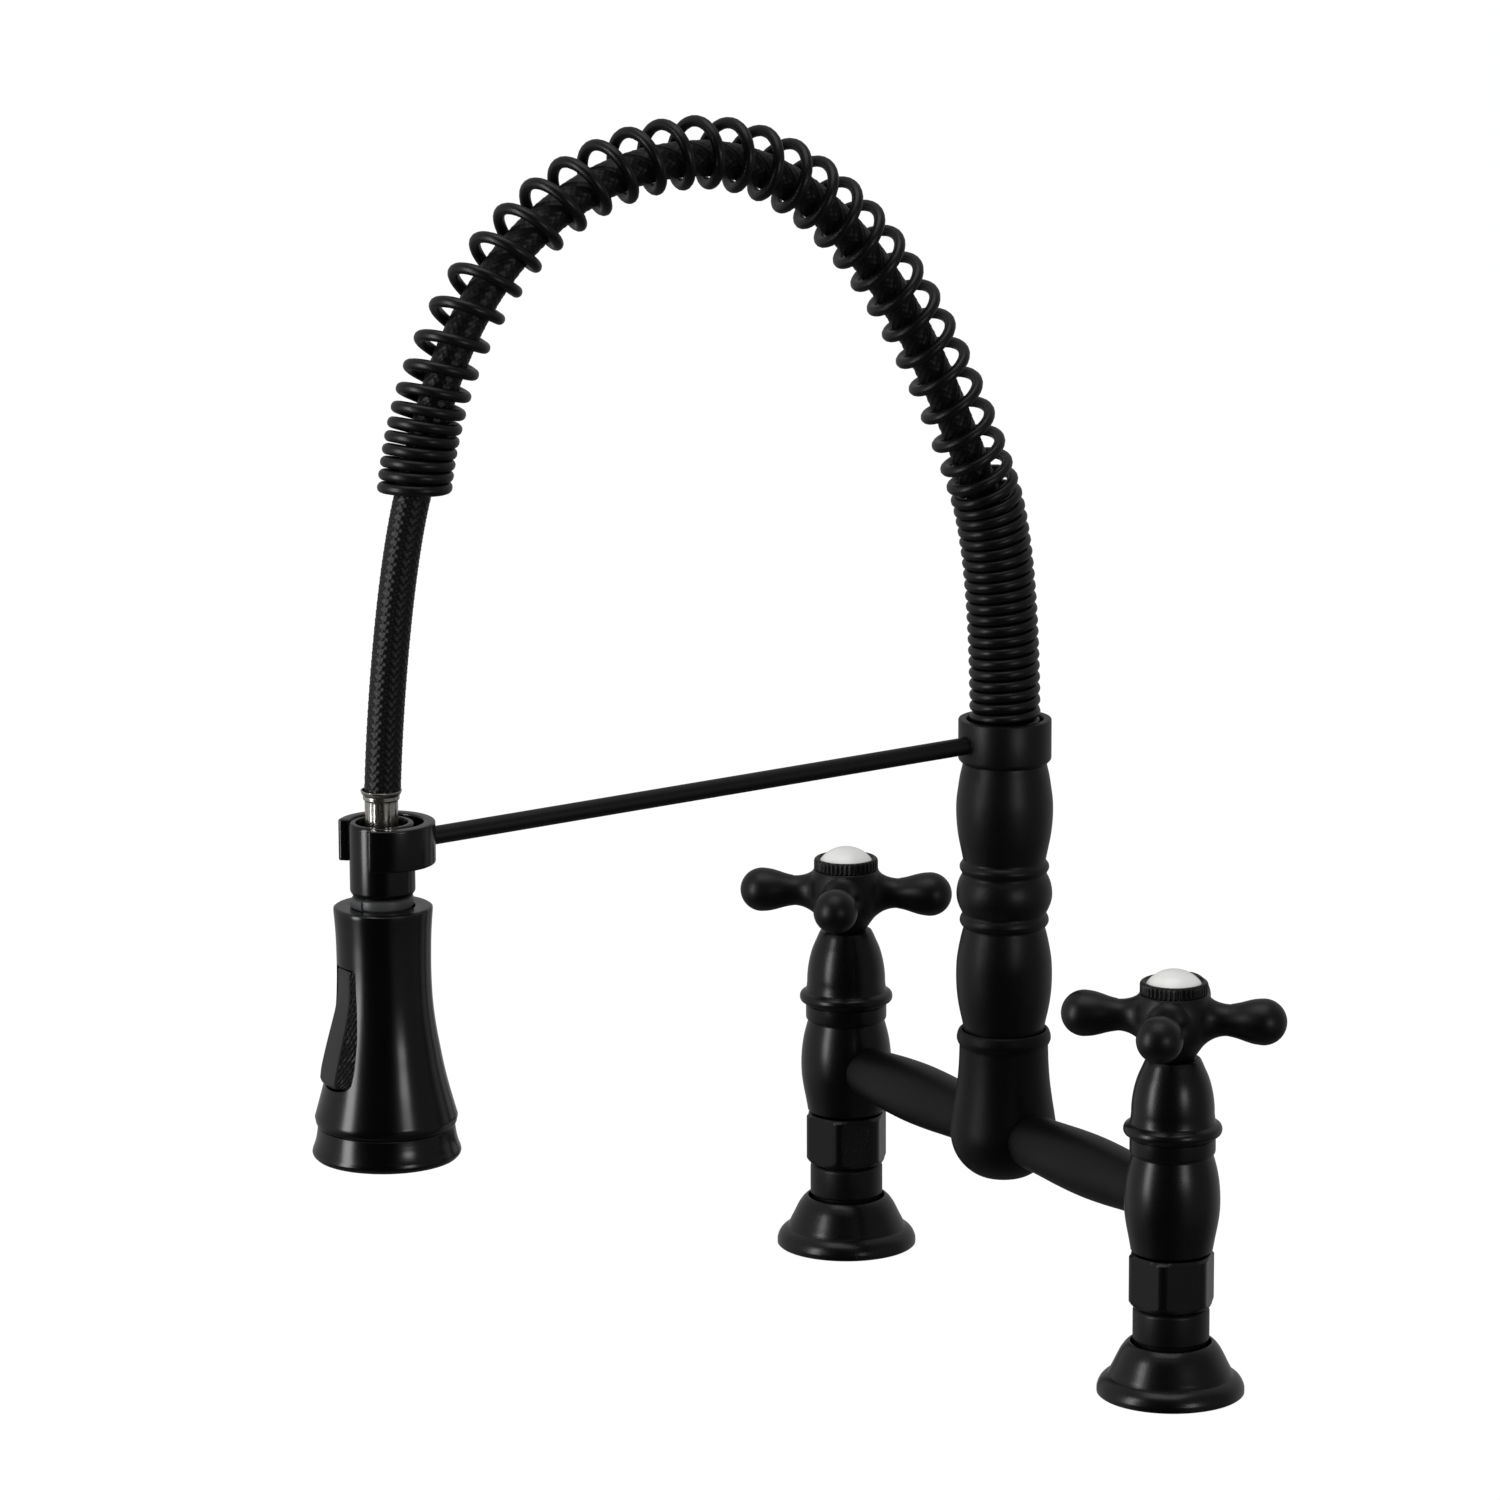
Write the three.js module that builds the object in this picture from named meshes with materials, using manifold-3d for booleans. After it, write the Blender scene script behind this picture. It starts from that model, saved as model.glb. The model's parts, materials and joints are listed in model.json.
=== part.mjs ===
// Bridge kitchen faucet with a spring spout and a pull-down spray wand.
// Millimetres, Z up, deck plane at z = 0, user stands at -Y, hot water on -X.
import * as THREE from 'three';
import { mergeVertices } from 'three/addons/utils/BufferGeometryUtils.js';
import Module from 'manifold-3d';

const wasm = await Module();
wasm.setup();

// ---------------------------------------------------------------- driving sizes
const centres = 203.2;        // hot axis to cold axis
const reach = 238.1;          // column axis to wand axis
const sides = 16;             // facets round a turned piece
const few = 10;               // facets round a piece hidden inside
const running = 0.3;          // radial gap round anything that turns or slides
const slip = 0.15;            // radial gap in a fixed joint

const shankR = 10.2;          // threaded tail under the deck
const shankBore = 6.2;
const shankLength = 55;       // below the deck
const sleeveR = 12.55;        // plain round part above the flange
const flangeR = 24.5;
const flangeTop = 18.4;
const webBottom = 2.6;        // the flange's inner web, clamped by the shank
const webTop = 4.6;
const gasketR = 15.6;         // foot gasket in the flange's recess
const deckThickness = 30;     // thickness the clamp is drawn for

const sleeveHeight = 11.4;    // sleeve seen between flange and nut
const nutHeight = 19;
const nutBottom = flangeTop + sleeveHeight;
const nutTop = nutBottom + nutHeight;
const nutR = 14.3;            // turned corners
const nutFlat = 12.5;         // axis to flat
const hotNutTurn = 16;        // heading of a corner
const coldNutTurn = 13;
const bodyR = 15.75;          // widest part of the barrel
const bodyNeckR = 14.05;      // band under the bonnet
const armRise = 17.1;         // nut to bridge axis
const armZ = nutTop + armRise;
const bodyRise = 22.1;        // bridge axis to the top of the valve body
const bodyTop = armZ + bodyRise;
const armEndR = 8.9;
const armMidR = 10.65;
const bonnetHeight = 26.6;
const bonnetTop = bodyTop + bonnetHeight;
const handleRise = 13.7;      // bonnet to the axis of the four arms
const handleZ = bonnetTop + handleRise;
const handleReach = 37.4;     // axis to arm tip
const knobR = 7.7;            // ball end
const hotTurn = 51;           // how far each handle stands turned in the photo
const coldTurn = 46.6;
const ringR = 11.25;
const hubRise = 8.3;          // arms' axis to the ring's seat
const ringHeight = 4.1;
const ringBottom = handleZ + hubRise;
const ringTop = ringBottom + ringHeight;
const buttonR = 9.2;
const buttonRise = 3.8;
const buttonTop = ringTop + buttonRise;
const buttonSunk = 0.75;      // the button's edge lies this far below the ring's rim

const teeDepth = 17;          // bridge axis down to the tee's round bottom
const teeRise = 35.9;         // bridge axis up to its mouth
const teeBottom = armZ - teeDepth;
const teeTop = armZ + teeRise;
const teeR = 17.8;
const teeNeckR = 14.95;
const spigotR = 10.9;         // lower end of the column inside the tee
const columnBore = 7;
const columnHeight = 92.8;    // above the tee
const columnTop = teeTop + columnHeight;
const collarR = 15.4;
const collarFloor = 9;        // column's top to the spring's seat in the collar
const socketDepth = 6.2;
const springSeat = columnTop + collarFloor;
const collarTop = springSeat + socketDepth;
const rodR = 3.0;
const rodZ = springSeat - 1.3;  // height of the rod's line at the column axis

const wireR = 1.5;
const coilR = 10.5;          // wire axis to spring axis
const tightPitch = 3.87;
const openPitch = 11.33;
const stepsPerCurl = 8;
const hoseR = 5.9;
const hoseBore = 3.9;

const clipR = 15.8;
const clipBore = 12;
const clipBack = 1.6;         // clip axis behind the wand axis
const clipHeight = 13.6;
const clipTop = rodZ + 1.5;
const clipBottom = clipTop - clipHeight;
const clipSlot = 9.9;         // half width of the mouth
const neckR = 10.5;
const neckHeight = 23.6;
const neckRingHeight = 5.6;
const shellHeight = 71;
const skirtHeight = 10.7;
const skirtR = 24.1;
const neckBottom = clipTop - neckHeight;
const shellTop = neckBottom - neckRingHeight;
const skirtTop = shellTop - shellHeight;
const wandBottom = skirtTop - skirtHeight;
const ferruleRise = 10.5;     // the hose ferrule stands this far out of the neck
const ferruleTop = clipTop + ferruleRise;

// ---------------------------------------------------------------- helpers
const v2 = (r, z) => new THREE.Vector2(r, z);
const v3 = (x, y, z) => new THREE.Vector3(x, y, z);

function tidy(source) {
  const bare = source.clone();
  bare.deleteAttribute('normal');
  bare.deleteAttribute('uv');
  const joined = mergeVertices(bare, 1e-4);
  const kept = [];
  const index = joined.index.array;
  for (let i = 0; i < index.length; i += 3) {
    const [a, b, c] = [index[i], index[i + 1], index[i + 2]];
    if (a !== b && b !== c && a !== c) kept.push(a, b, c);
  }
  joined.setIndex(kept);
  return joined;
}

// a closed body from any closed geometry, turned outward whichever way it was drawn
function body(source) {
  const clean = tidy(source);
  const at = clean.attributes.position;
  const tris = Array.from(clean.index.array);
  const [p, q, s] = [new THREE.Vector3(), new THREE.Vector3(), new THREE.Vector3()];
  let volume = 0;
  for (let i = 0; i < tris.length; i += 3) {
    p.fromBufferAttribute(at, tris[i]);
    q.fromBufferAttribute(at, tris[i + 1]);
    s.fromBufferAttribute(at, tris[i + 2]);
    volume += p.dot(q.cross(s));
  }
  if (volume < 0) {
    for (let i = 0; i < tris.length; i += 3) [tris[i], tris[i + 1]] = [tris[i + 1], tris[i]];
  }
  const mesh = new wasm.Mesh({
    numProp: 3,
    vertProperties: Float32Array.from(at.array),
    triVerts: Uint32Array.from(tris),
  });
  return new wasm.Manifold(mesh);
}

// slivers left by cutting are closed up first
function geometryOf(solid) {
  const mesh = solid.simplify(0.02).getMesh();
  const geometry = new THREE.BufferGeometry();
  const points = new Float32Array(mesh.numVert * 3);
  for (let i = 0; i < mesh.numVert; i += 1) {
    for (let k = 0; k < 3; k += 1) points[i * 3 + k] = mesh.vertProperties[i * mesh.numProp + k];
  }
  geometry.setAttribute('position', new THREE.BufferAttribute(points, 3));
  geometry.setIndex(Array.from(mesh.triVerts));
  return geometry;
}

// turned piece about Z; a profile that leaves the axis free closes on itself
function turned(profile, count = sides) {
  const points = profile.map(([r, z]) => v2(Math.max(r, 0), z));
  const onAxis = points[0].x === 0 && points[points.length - 1].x === 0;
  if (!onAxis) points.push(points[0].clone());
  const lathe = new THREE.LatheGeometry(points, count);
  lathe.rotateX(Math.PI / 2);
  return body(lathe);
}

const rod = (r, z0, z1, count = sides) => turned([[0, z0], [r, z0], [r, z1], [0, z1]], count);
const tube = (inner, outer, z0, z1, count = sides) =>
  turned([[inner, z0], [outer, z0], [outer, z1], [inner, z1]], count);

// smooth run of profile points from a to b passing through m half way
function bow(a, m, b, count) {
  const run = [];
  for (let i = 0; i <= count; i += 1) {
    const t = i / count;
    const w = [(1 - t) * (1 - 2 * t), 4 * t * (1 - t), t * (2 * t - 1)];
    run.push([0, 1].map((k) => w[0] * a[k] + w[1] * m[k] + w[2] * b[k]));
  }
  return run;
}

function arc(r, z, radius, from, to, count) {
  const run = [];
  for (let i = 0; i <= count; i += 1) {
    const angle = THREE.MathUtils.degToRad(from + (to - from) * (i / count));
    run.push([r + radius * Math.cos(angle), z + radius * Math.sin(angle)]);
  }
  return run;
}

// the same piece laid along X: local z becomes world x
const alongX = (solid) => solid.rotate([0, 90, 0]);
const alongY = (solid) => solid.rotate([-90, 0, 0]);

function slab(x0, x1, y0, y1, z0, z1) {
  const box = new THREE.BoxGeometry(x1 - x0, y1 - y0, z1 - z0);
  box.translate((x0 + x1) / 2, (y0 + y1) / 2, (z0 + z1) / 2);
  return body(box);
}

function prism(outline, z0, z1) {
  const shape = new THREE.Shape(outline.map(([x, y]) => v2(x, y)));
  const block = new THREE.ExtrudeGeometry(shape, { depth: z1 - z0, bevelEnabled: false });
  block.translate(0, 0, z0);
  return body(block);
}

function ring(count, radius, turn = 0) {
  const points = [];
  for (let i = 0; i < count; i += 1) {
    const angle = (i / count) * 2 * Math.PI + turn;
    const r = typeof radius === 'function' ? radius(i) : radius;
    points.push([r * Math.cos(angle), r * Math.sin(angle)]);
  }
  return points;
}

// ---------------------------------------------------------------- colours
const finishes = {
  black: { color: 0x1b1b1c, roughness: 0.42, metalness: 0.55 },
  blackPlastic: { color: 0x2b2b2d, roughness: 0.6, metalness: 0.0 },
  greyPlastic: { color: 0x4a4b4d, roughness: 0.55, metalness: 0.0 },
  brass: { color: 0xb08d4a, roughness: 0.35, metalness: 1.0 },
  steel: { color: 0xb9bbbd, roughness: 0.3, metalness: 1.0 },
  nickel: { color: 0xc9c6c0, roughness: 0.22, metalness: 1.0 },
  rubber: { color: 0x161616, roughness: 0.85, metalness: 0.0 },
  nylon: { color: 0xe4e2da, roughness: 0.5, metalness: 0.0 },
  ceramic: { color: 0xf1f0ec, roughness: 0.18, metalness: 0.0 },
  porcelain: { color: 0xf4f3ef, roughness: 0.12, metalness: 0.0 },
  braid: { color: 0x111112, roughness: 0.7, metalness: 0.0 },
  wire: { color: 0x18181a, roughness: 0.4, metalness: 0.6 },
};

const faucet = new THREE.Group();
faucet.name = 'bridge_kitchen_faucet';

function place(name, solid, finish) {
  const geometry = solid instanceof THREE.BufferGeometry ? solid : geometryOf(solid);
  const material = new THREE.MeshStandardMaterial(finishes[finish]);
  material.name = finish;
  const mesh = new THREE.Mesh(geometry, material);
  mesh.name = name;
  faucet.add(mesh);
}

// ---------------------------------------------------------------- one valve, built on the Z axis
function flange() {
  const bore = sleeveR + running;
  return turned([
    [shankR + running, webBottom], [gasketR + 0.4, webBottom], [gasketR + 1.4, 0],
    [flangeR, 0], [flangeR, 2],
    ...bow([flangeR - 0.3, 3], [flangeR - 1.9, 5], [flangeR - 4.3, 6.6], 2),
    [flangeR - 4.9, 7.8], [flangeR - 8.4, flangeTop - 3.6], [flangeR - 10.7, flangeTop],
    [bore, flangeTop], [bore, webTop], [shankR + running, webTop],
  ]);
}

function baseGasket() {
  return tube(shankR + 0.6, gasketR, 0, webBottom, few);
}

const threadTop = nutBottom + 11.4;       // where the shank's upper thread ends
const washerTop = threadTop + 1.8;
const tailFlangeTop = washerTop + 1.4;
const nutThreadR = 10.9;

function shank() {
  return turned([
    [shankBore, -shankLength], [shankR, -shankLength],
    [shankR, webTop], [sleeveR, webTop], [sleeveR, nutBottom - 0.4],
    [nutThreadR - slip, nutBottom - 0.4], [nutThreadR - slip, threadTop], [shankBore, threadTop],
  ]);
}

const deckWasher = () => tube(shankR + 0.8, 19.5, -deckThickness - 2.5, -deckThickness, few);

function locknut() {
  const top = -deckThickness - 2.5;
  const hex = prism(ring(6, 17.5), top - 9, top);
  return hex.subtract(rod(shankR + 0.2, top - 10, top + 1));
}

const unionWasher = () => tube(shankBore + 0.4, nutThreadR - 0.4, threadTop, washerTop, few);

function unionNut(turn) {
  const hex = prism(ring(6, nutFlat / Math.cos(Math.PI / 6), turn), nutBottom, nutTop);
  const blank = turned([
    [0, nutBottom], [nutR - 1.5, nutBottom], [nutR, nutBottom + 2.2],
    [nutR, nutTop], [0, nutTop],
  ], 18);
  const bore = turned([
    [0, nutBottom - 1], [nutThreadR, nutBottom - 1], [nutThreadR, tailFlangeTop + 0.2],
    [8.2, tailFlangeTop + 0.2], [8.2, nutTop + 1], [0, nutTop + 1],
  ]);
  return blank.intersect(hex).subtract(bore);
}

const chamberR = 11.2;                    // bore that takes the cartridge
const chamberFloor = armZ - 9.4;
const cartridgeR = chamberR - slip;      // same facets as its chamber, so the gap holds all round
const bodyOutline = [
  ...bow([13.1, nutTop + 0.3], [bodyR - 0.55, armZ - 7], [bodyR, armZ + 0.6], 3),
  ...bow([bodyR, armZ + 0.6], [bodyR - 0.55, armZ + 8], [13.5, bodyTop - 6.6], 2).slice(1),
  [bodyNeckR, bodyTop - 5.2], [bodyNeckR, bodyTop],
];

const spigotOfArmR = 7.1;

function valveBody(towards) {
  const outside = turned([[0, nutTop + 0.3], ...bodyOutline, [0, bodyTop]]);
  const tail = turned([
    [0, washerTop], [nutThreadR - 0.5, washerTop], [nutThreadR - 0.5, tailFlangeTop],
    [7.8, tailFlangeTop], [7.8, nutTop + 1], [0, nutTop + 1],
  ], few);
  const inside = turned([
    [0, washerTop - 1], [shankBore, washerTop - 1], [shankBore, chamberFloor],
    [chamberR, chamberFloor], [chamberR, bodyTop + 1], [0, bodyTop + 1],
  ], few);
  const socket = alongX(rod(spigotOfArmR + slip, 0, towards * 25, few)).translate([0, 0, armZ]);
  return outside.add(tail).subtract(inside).subtract(socket);
}

const discFloor = chamberFloor + 1.6;
const discTop = discFloor + 5.4;
const cartridgeTop = bodyTop + 14;
const capR = 12.6;                        // flange of the cartridge, under the bonnet
const stemR = 4.4;
const discR = 8.3;

function cartridge() {
  const outer = turned([
    [shankBore, chamberFloor], [cartridgeR, chamberFloor], [cartridgeR, bodyTop],
    [capR, bodyTop], [capR, bodyTop + 2.4], [9.4, bodyTop + 2.4], [9.4, cartridgeTop],
    [stemR + 0.45, cartridgeTop], [stemR + 0.45, discTop + 6],
    [discR + 0.6, discTop + 6], [discR + 0.6, discFloor], [shankBore, discFloor],
  ], few);
  const window = slab(0, 20, -3.4, 3.4, discTop + 0.6, discTop + 5.2);
  return outer.subtract(window);
}

function ceramicDisc(z0, z1, turn) {
  const hole = (a) => rod(1.9, z0 - 1, z1 + 1, 8).translate([
    4.7 * Math.cos(a), 4.7 * Math.sin(a), 0,
  ]);
  return rod(discR, z0, z1, few).subtract(hole(turn)).subtract(hole(turn + Math.PI));
}

const splineTop = handleZ + 0.6;

function stem() {
  const foot = rod(discR - 0.4, discTop, discTop + 5.6, few);
  const shaft = turned([
    [0, discTop + 5], [stemR, discTop + 5], [stemR, bonnetTop - 1],
    [3.8, bonnetTop - 0.4], [3.8, splineTop], [0, splineTop],
  ], few);
  const port = slab(-20, 20, -2.6, 2.6, discTop - 1, discTop + 4.4);
  const thread = rod(1.7, splineTop - 12, splineTop + 1, 8);
  return foot.subtract(port).add(shaft).subtract(thread);
}

function bonnet() {
  return turned([
    [capR + 0.35, bodyTop], [bodyNeckR + 0.1, bodyTop],
    ...arc(bodyNeckR - 0.4, bodyTop + 2.8, 2.6, -50, 50, 2),
    [13.6, bodyTop + 10], [12.3, bodyTop + 17.8], [8.5, bonnetTop],
    [stemR + running, bonnetTop], [stemR + running, cartridgeTop + 1.4],
    [9.4 + running, cartridgeTop + 1.4], [9.4 + running, bodyTop + 2.6],
    [capR + 0.35, bodyTop + 2.6],
  ]);
}

function crossHandle(turn) {
  const hub = turned([
    [0, bonnetTop + 0.9], [7.5, bonnetTop + 0.9],
    ...bow([7.8, bonnetTop + 1.9], [12, handleZ - 6.3], [13.3, handleZ], 2),
    [12.9, handleZ + 3.8], [11.2, ringBottom],
    [0, ringBottom],
  ]);
  const neck = 16.3;
  const ball = handleReach - knobR;
  const arm = turned([
    [0, 6], [7.4, 6], [7, 10], [5.2, neck], [knobR, ball],
    [knobR * 0.77, ball + knobR * 0.64], [0, handleReach],
  ], 8).rotate([0, 0, 22.5]).scale([1.03, 1.03, 1]);
  let cross = hub;
  for (let i = 0; i < 4; i += 1) {
    const laid = alongX(arm).rotate([0, 0, turn + i * 90]).translate([0, 0, handleZ]);
    cross = cross.add(laid);
  }
  const bore = rod(3.8 + slip, bonnetTop, splineTop + 0.2, few);
  const screwHole = rod(1.9, splineTop, splineTop + 5, 8);
  const well = rod(7.3, splineTop + 2.6, ringBottom + 1);
  return cross.subtract(bore).subtract(screwHole).subtract(well);
}

function handleScrew() {
  const seat = splineTop + 2.6;
  const blank = turned([
    [0, splineTop - 9], [1.5, splineTop - 9], [1.5, seat], [3.3, seat],
    [3.3, seat + 1.6], [2.6, seat + 2.2], [0, seat + 2.2],
  ], 8);
  return blank.subtract(slab(-5, 5, -0.45, 0.45, seat + 1, seat + 4));
}

const buttonSeat = ringBottom + 1.3;

function indexRing() {
  return turned([
    [5.2, ringBottom - 1.6], [6.9, ringBottom - 1.6], [6.9, ringBottom], [ringR, ringBottom],
    [ringR, ringTop],
    [buttonR + slip, ringTop], [buttonR + slip, buttonSeat], [5.2, buttonSeat],
  ]);
}

function indexButton() {
  const crown = buttonTop - ringTop + buttonSunk;
  const ball = (buttonR * buttonR + crown * crown) / (2 * crown);
  const edge = THREE.MathUtils.radToDeg(Math.asin((ball - crown) / ball));
  return turned([
    [0, buttonSeat], [buttonR, buttonSeat],
    ...arc(0, buttonTop - ball, ball, edge, 90, 3).slice(0, -1), [0, buttonTop],
  ]);
}

for (const [side, towards, turn, nutTurn] of [
  ['hot', 1, hotTurn, hotNutTurn], ['cold', -1, coldTurn, coldNutTurn],
]) {
  const at = (solid) => solid.translate([(-towards * centres) / 2, 0, 0]);
  place(`${side}_flange`, at(flange()), 'black');
  place(`${side}_base_gasket`, at(baseGasket()), 'rubber');
  place(`${side}_shank`, at(shank()), 'black');
  place(`${side}_deck_washer`, at(deckWasher()), 'steel');
  place(`${side}_locknut`, at(locknut()), 'brass');
  place(`${side}_union_nut`, at(unionNut(THREE.MathUtils.degToRad(nutTurn))), 'black');
  place(`${side}_union_washer`, at(unionWasher()), 'rubber');
  place(`${side}_valve_body`, at(valveBody(towards)), 'black');
  place(`${side}_cartridge`, at(cartridge()), 'brass');
  place(`${side}_seat_disc`, at(ceramicDisc(discFloor, discFloor + 2.7, 0)), 'ceramic');
  place(`${side}_turning_disc`, at(ceramicDisc(discFloor + 2.7, discTop, Math.PI / 2)), 'ceramic');
  place(`${side}_stem`, at(stem()), 'brass');
  place(`${side}_bonnet`, at(bonnet()), 'black');
  place(`${side}_cross_handle`, at(crossHandle(turn)), 'black');
  place(`${side}_handle_screw`, at(handleScrew().rotate([0, 0, turn])), 'steel');
  place(`${side}_index_ring`, at(indexRing()), 'black');
  place(`${side}_index_button`, at(indexButton()), 'porcelain');
}

// ---------------------------------------------------------------- bridge
const teeOutline = [
  ...arc(0, 0, 1, -90, 0, 4).slice(1).map(([r, z]) => [r * teeR, armZ + z * (armZ - teeBottom)]),
  ...bow([teeR, armZ], [teeR - 1.3, armZ + 10.5], [teeNeckR + 0.1, armZ + 23], 3).slice(1),
  [teeNeckR, teeTop - 5.6],
  ...arc(teeNeckR - 0.7, teeTop - 2.6, 1.6, -60, 60, 2),
  [teeNeckR - 0.2, teeTop],
];
const teeBoreR = spigotR + running;
const teeBoreFloor = armZ + 6.5;
const seatZ = teeTop - 4.4;               // floor of the counterbore for the bush
const mouthR = 14.15;

function teeBody() {
  const outside = turned([[0, teeBottom], ...teeOutline, [0, teeTop]]);
  const inside = turned([
    [0, armZ - 9], [9, armZ - 9], [9, teeBoreFloor], [teeBoreR, teeBoreFloor],
    [teeBoreR, seatZ], [mouthR, seatZ], [mouthR, teeTop + 1], [0, teeTop + 1],
  ]);
  const socket = alongX(rod(spigotOfArmR + slip, -30, 30, few)).translate([0, 0, armZ]);
  const screw = alongY(rod(2.1, 5, 30, 8)).translate([0, 0, grooveZ]);
  return outside.subtract(inside).subtract(socket).subtract(screw);
}

const grooveZ = armZ + 19;

function bridgeArm(side) {
  // drawn along +Z from the tee to the valve, then laid along X
  const half = centres / 2;
  const start = 4;
  const end = half - 4;
  const mid = half * 0.53;
  const radius = (x) => armMidR - (armMidR - armEndR) * ((x - mid) / (mid - 16)) ** 2;
  const outline = [];
  for (let i = 0; i <= 4; i += 1) {
    const x = 12 + ((half - 24) * i) / 4;
    outline.push([radius(x), x]);
  }
  const hull = turned([[0, start], [radius(12), start], ...outline, [radius(12), end], [0, end]]);
  const laid = alongX(hull).translate([0, 0, armZ]);
  const grow = 0.1;
  const saddle = (points, z0, z1) => turned([
    [0, z0 - 2], ...points.map(([r, z]) => [r + grow, z]), [0, z1 + 2],
  ]);
  const teeSide = saddle(teeOutline.slice(0, 7), teeBottom, armZ + 23);
  const valveSide = saddle(bodyOutline.slice(0, 6), nutTop, bodyTop - 8).translate([half, 0, 0]);
  const spigot = alongX(rod(spigotOfArmR, 13.2, half - 11.9, few)).translate([0, 0, armZ]);
  const water = alongX(rod(5.4, 0, half, few)).translate([0, 0, armZ]);
  const made = laid.subtract(teeSide).subtract(valveSide).add(spigot).subtract(water);
  return side < 0 ? made.rotate([0, 0, 180]) : made;
}

place('bridge_arm_hot', bridgeArm(-1), 'black');
place('bridge_arm_cold', bridgeArm(1), 'black');
place('tee_body', teeBody(), 'black');

const retainer = alongY(turned([
  [0, spigotR - 1.2], [1.4, spigotR - 1.2], [1.4, teeBoreR + 0.2], [1.95, teeBoreR + 0.2],
  [1.95, 15.1], [0, 15.1],
], 8)).translate([0, 0, grooveZ]);
place('retaining_screw', retainer, 'steel');
place('swivel_bush', tube(teeBoreR, mouthR - slip, seatZ, seatZ + 1.6), 'nylon');

// ---------------------------------------------------------------- column
const sealHeights = [grooveZ - 6.5, grooveZ + 6.5];
const shoulderZ = seatZ + 1.6;
const columnR = 16.05;

function columnOutline() {
  const foot = teeTop + 1.6;
  const rise = columnTop - foot;
  const low = foot + 0.362 * rise;        // neck above the lower bulge
  const high = foot + 0.636 * rise;       // neck under the upper bulge
  return [
    [13.7, shoulderZ], [13.7, foot],
    ...bow([13.8, foot], [15.15, foot + 0.07 * rise], [columnR - 0.1, foot + 0.143 * rise], 2).slice(1),
    [columnR - 0.05, foot + 0.23 * rise],
    [15.2, foot + 0.302 * rise], [13.8, low],
    ...arc(13.7, low + 3.1, 1.25, -60, 60, 2),
    ...bow([14.05, low + 5.7], [columnR - 0.1, (low + high) / 2 - 0.3], [14.1, high - 5.8], 3),
    ...arc(13.7, high - 3.3, 1.25, -60, 60, 2),
    [13.75, high], [15.6, high + 0.088 * rise], [columnR + 0.05, high + 0.18 * rise],
    [14.1, columnTop],
  ];
}

function column() {
  const stubR = 10.4;
  const outer = [
    [columnBore, teeBoreFloor + 1], [spigotR, teeBoreFloor + 1],
    [spigotR, shoulderZ],
    ...columnOutline(),
    [stubR, columnTop], [stubR, springSeat - 1.8], [columnBore, springSeat - 1.8],
  ];
  const whole = turned(outer);
  const groove = (z, half, depth) => tube(spigotR - depth, spigotR + 1, z - half, z + half);
  let cut = whole.subtract(groove(grooveZ, 1.8, 1.6));
  for (const z of sealHeights) cut = cut.subtract(groove(z, 1.3, 1.9));
  return cut;
}

place('column', column(), 'black');
sealHeights.forEach((z, i) => {
  const cord = 1.0;
  const seal = turned(arc(spigotR - 0.85, z, cord, 45, 315, 3), sides);
  place(i ? 'column_oring_upper' : 'column_oring_lower', seal, 'rubber');
});

const nippleTop = springSeat + 12;

function hoseNipple() {
  return turned([
    [2.2, columnTop - 6], [columnBore - slip, columnTop - 6], [columnBore - slip, springSeat - 1.8],
    [9.6, springSeat - 1.8], [9.6, springSeat + 0.2], [3.1, springSeat + 0.2],
    [3.1, springSeat + 5], [3.45, springSeat + 6], [2.9, nippleTop], [2.2, nippleTop],
  ], few);
}

place('hose_nipple', hoseNipple(), 'brass');

// the rod drops a little from the collar to the clip, as it does in the photo
const rodInner = 12.9;
const rodOuter = reach - clipBack - clipR + 2.2;
const rodDrop = 1.43;
const onRod = (solid) => alongY(solid).rotate([rodDrop, 0, 0]).translate([0, 0, rodZ]);

function springCollar() {
  const bore = 10.4 + slip;
  const blank = turned([
    [bore, columnTop], [collarR - 1.1, columnTop], [collarR, columnTop + 1.3],
    [collarR, collarTop], [coilR + wireR + 1.1, collarTop],
    [coilR + wireR + 1.1, springSeat], [bore, springSeat],
  ]);
  return blank.subtract(onRod(rod(rodR + slip, -30, -12.7, few)));
}

place('spring_collar', springCollar(), 'black');

place('dock_rod', onRod(turned([
  [0, -rodOuter], [rodR, -rodOuter], [rodR, -rodInner - 0.4], [rodR - 0.4, -rodInner], [0, -rodInner],
], few)), 'black');

function dockClip() {
  const shape = turned([
    [clipBore, clipBottom], [clipR - 0.6, clipBottom], [clipR, clipBottom + 0.6],
    [clipR, clipTop - 0.6], [clipR - 0.6, clipTop], [clipBore, clipTop],
  ]).translate([0, clipBack - reach, 0]);
  const mouth = slab(-clipSlot, clipSlot, -reach - 30, -reach, clipBottom - 1, clipTop + 1);
  return shape.subtract(mouth).subtract(onRod(rod(rodR + slip, -rodOuter - 0.2, 0, few)));
}

place('dock_clip', dockClip(), 'black');

// ---------------------------------------------------------------- spring and hose
// the arch is three joined cubic curves in the plane x = 0, as fractions of reach and height
const archBase = springSeat + 1.4;
const archHeight = 205.5;                 // archBase to the top of the centreline
const inArch = (y, z) => v3(0, -y * reach, archBase + z * archHeight);
const lean = 0.35;
const kneePoint = inArch(0.03625, 0.41);
const topPoint = inArch(0.5177, 1);
const endPoint = inArch(0.9434, 0.5005);
const leaning = v3(0, -Math.sin(lean), Math.cos(lean));
const dropAngle = 0.1;
const dropping = v3(0, Math.sin(dropAngle), Math.cos(dropAngle));
const level = v3(0, 1, 0);
const size = archHeight / 205.5;
const along = (from, direction, far) => from.clone().addScaledVector(direction, far * size);

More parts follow.
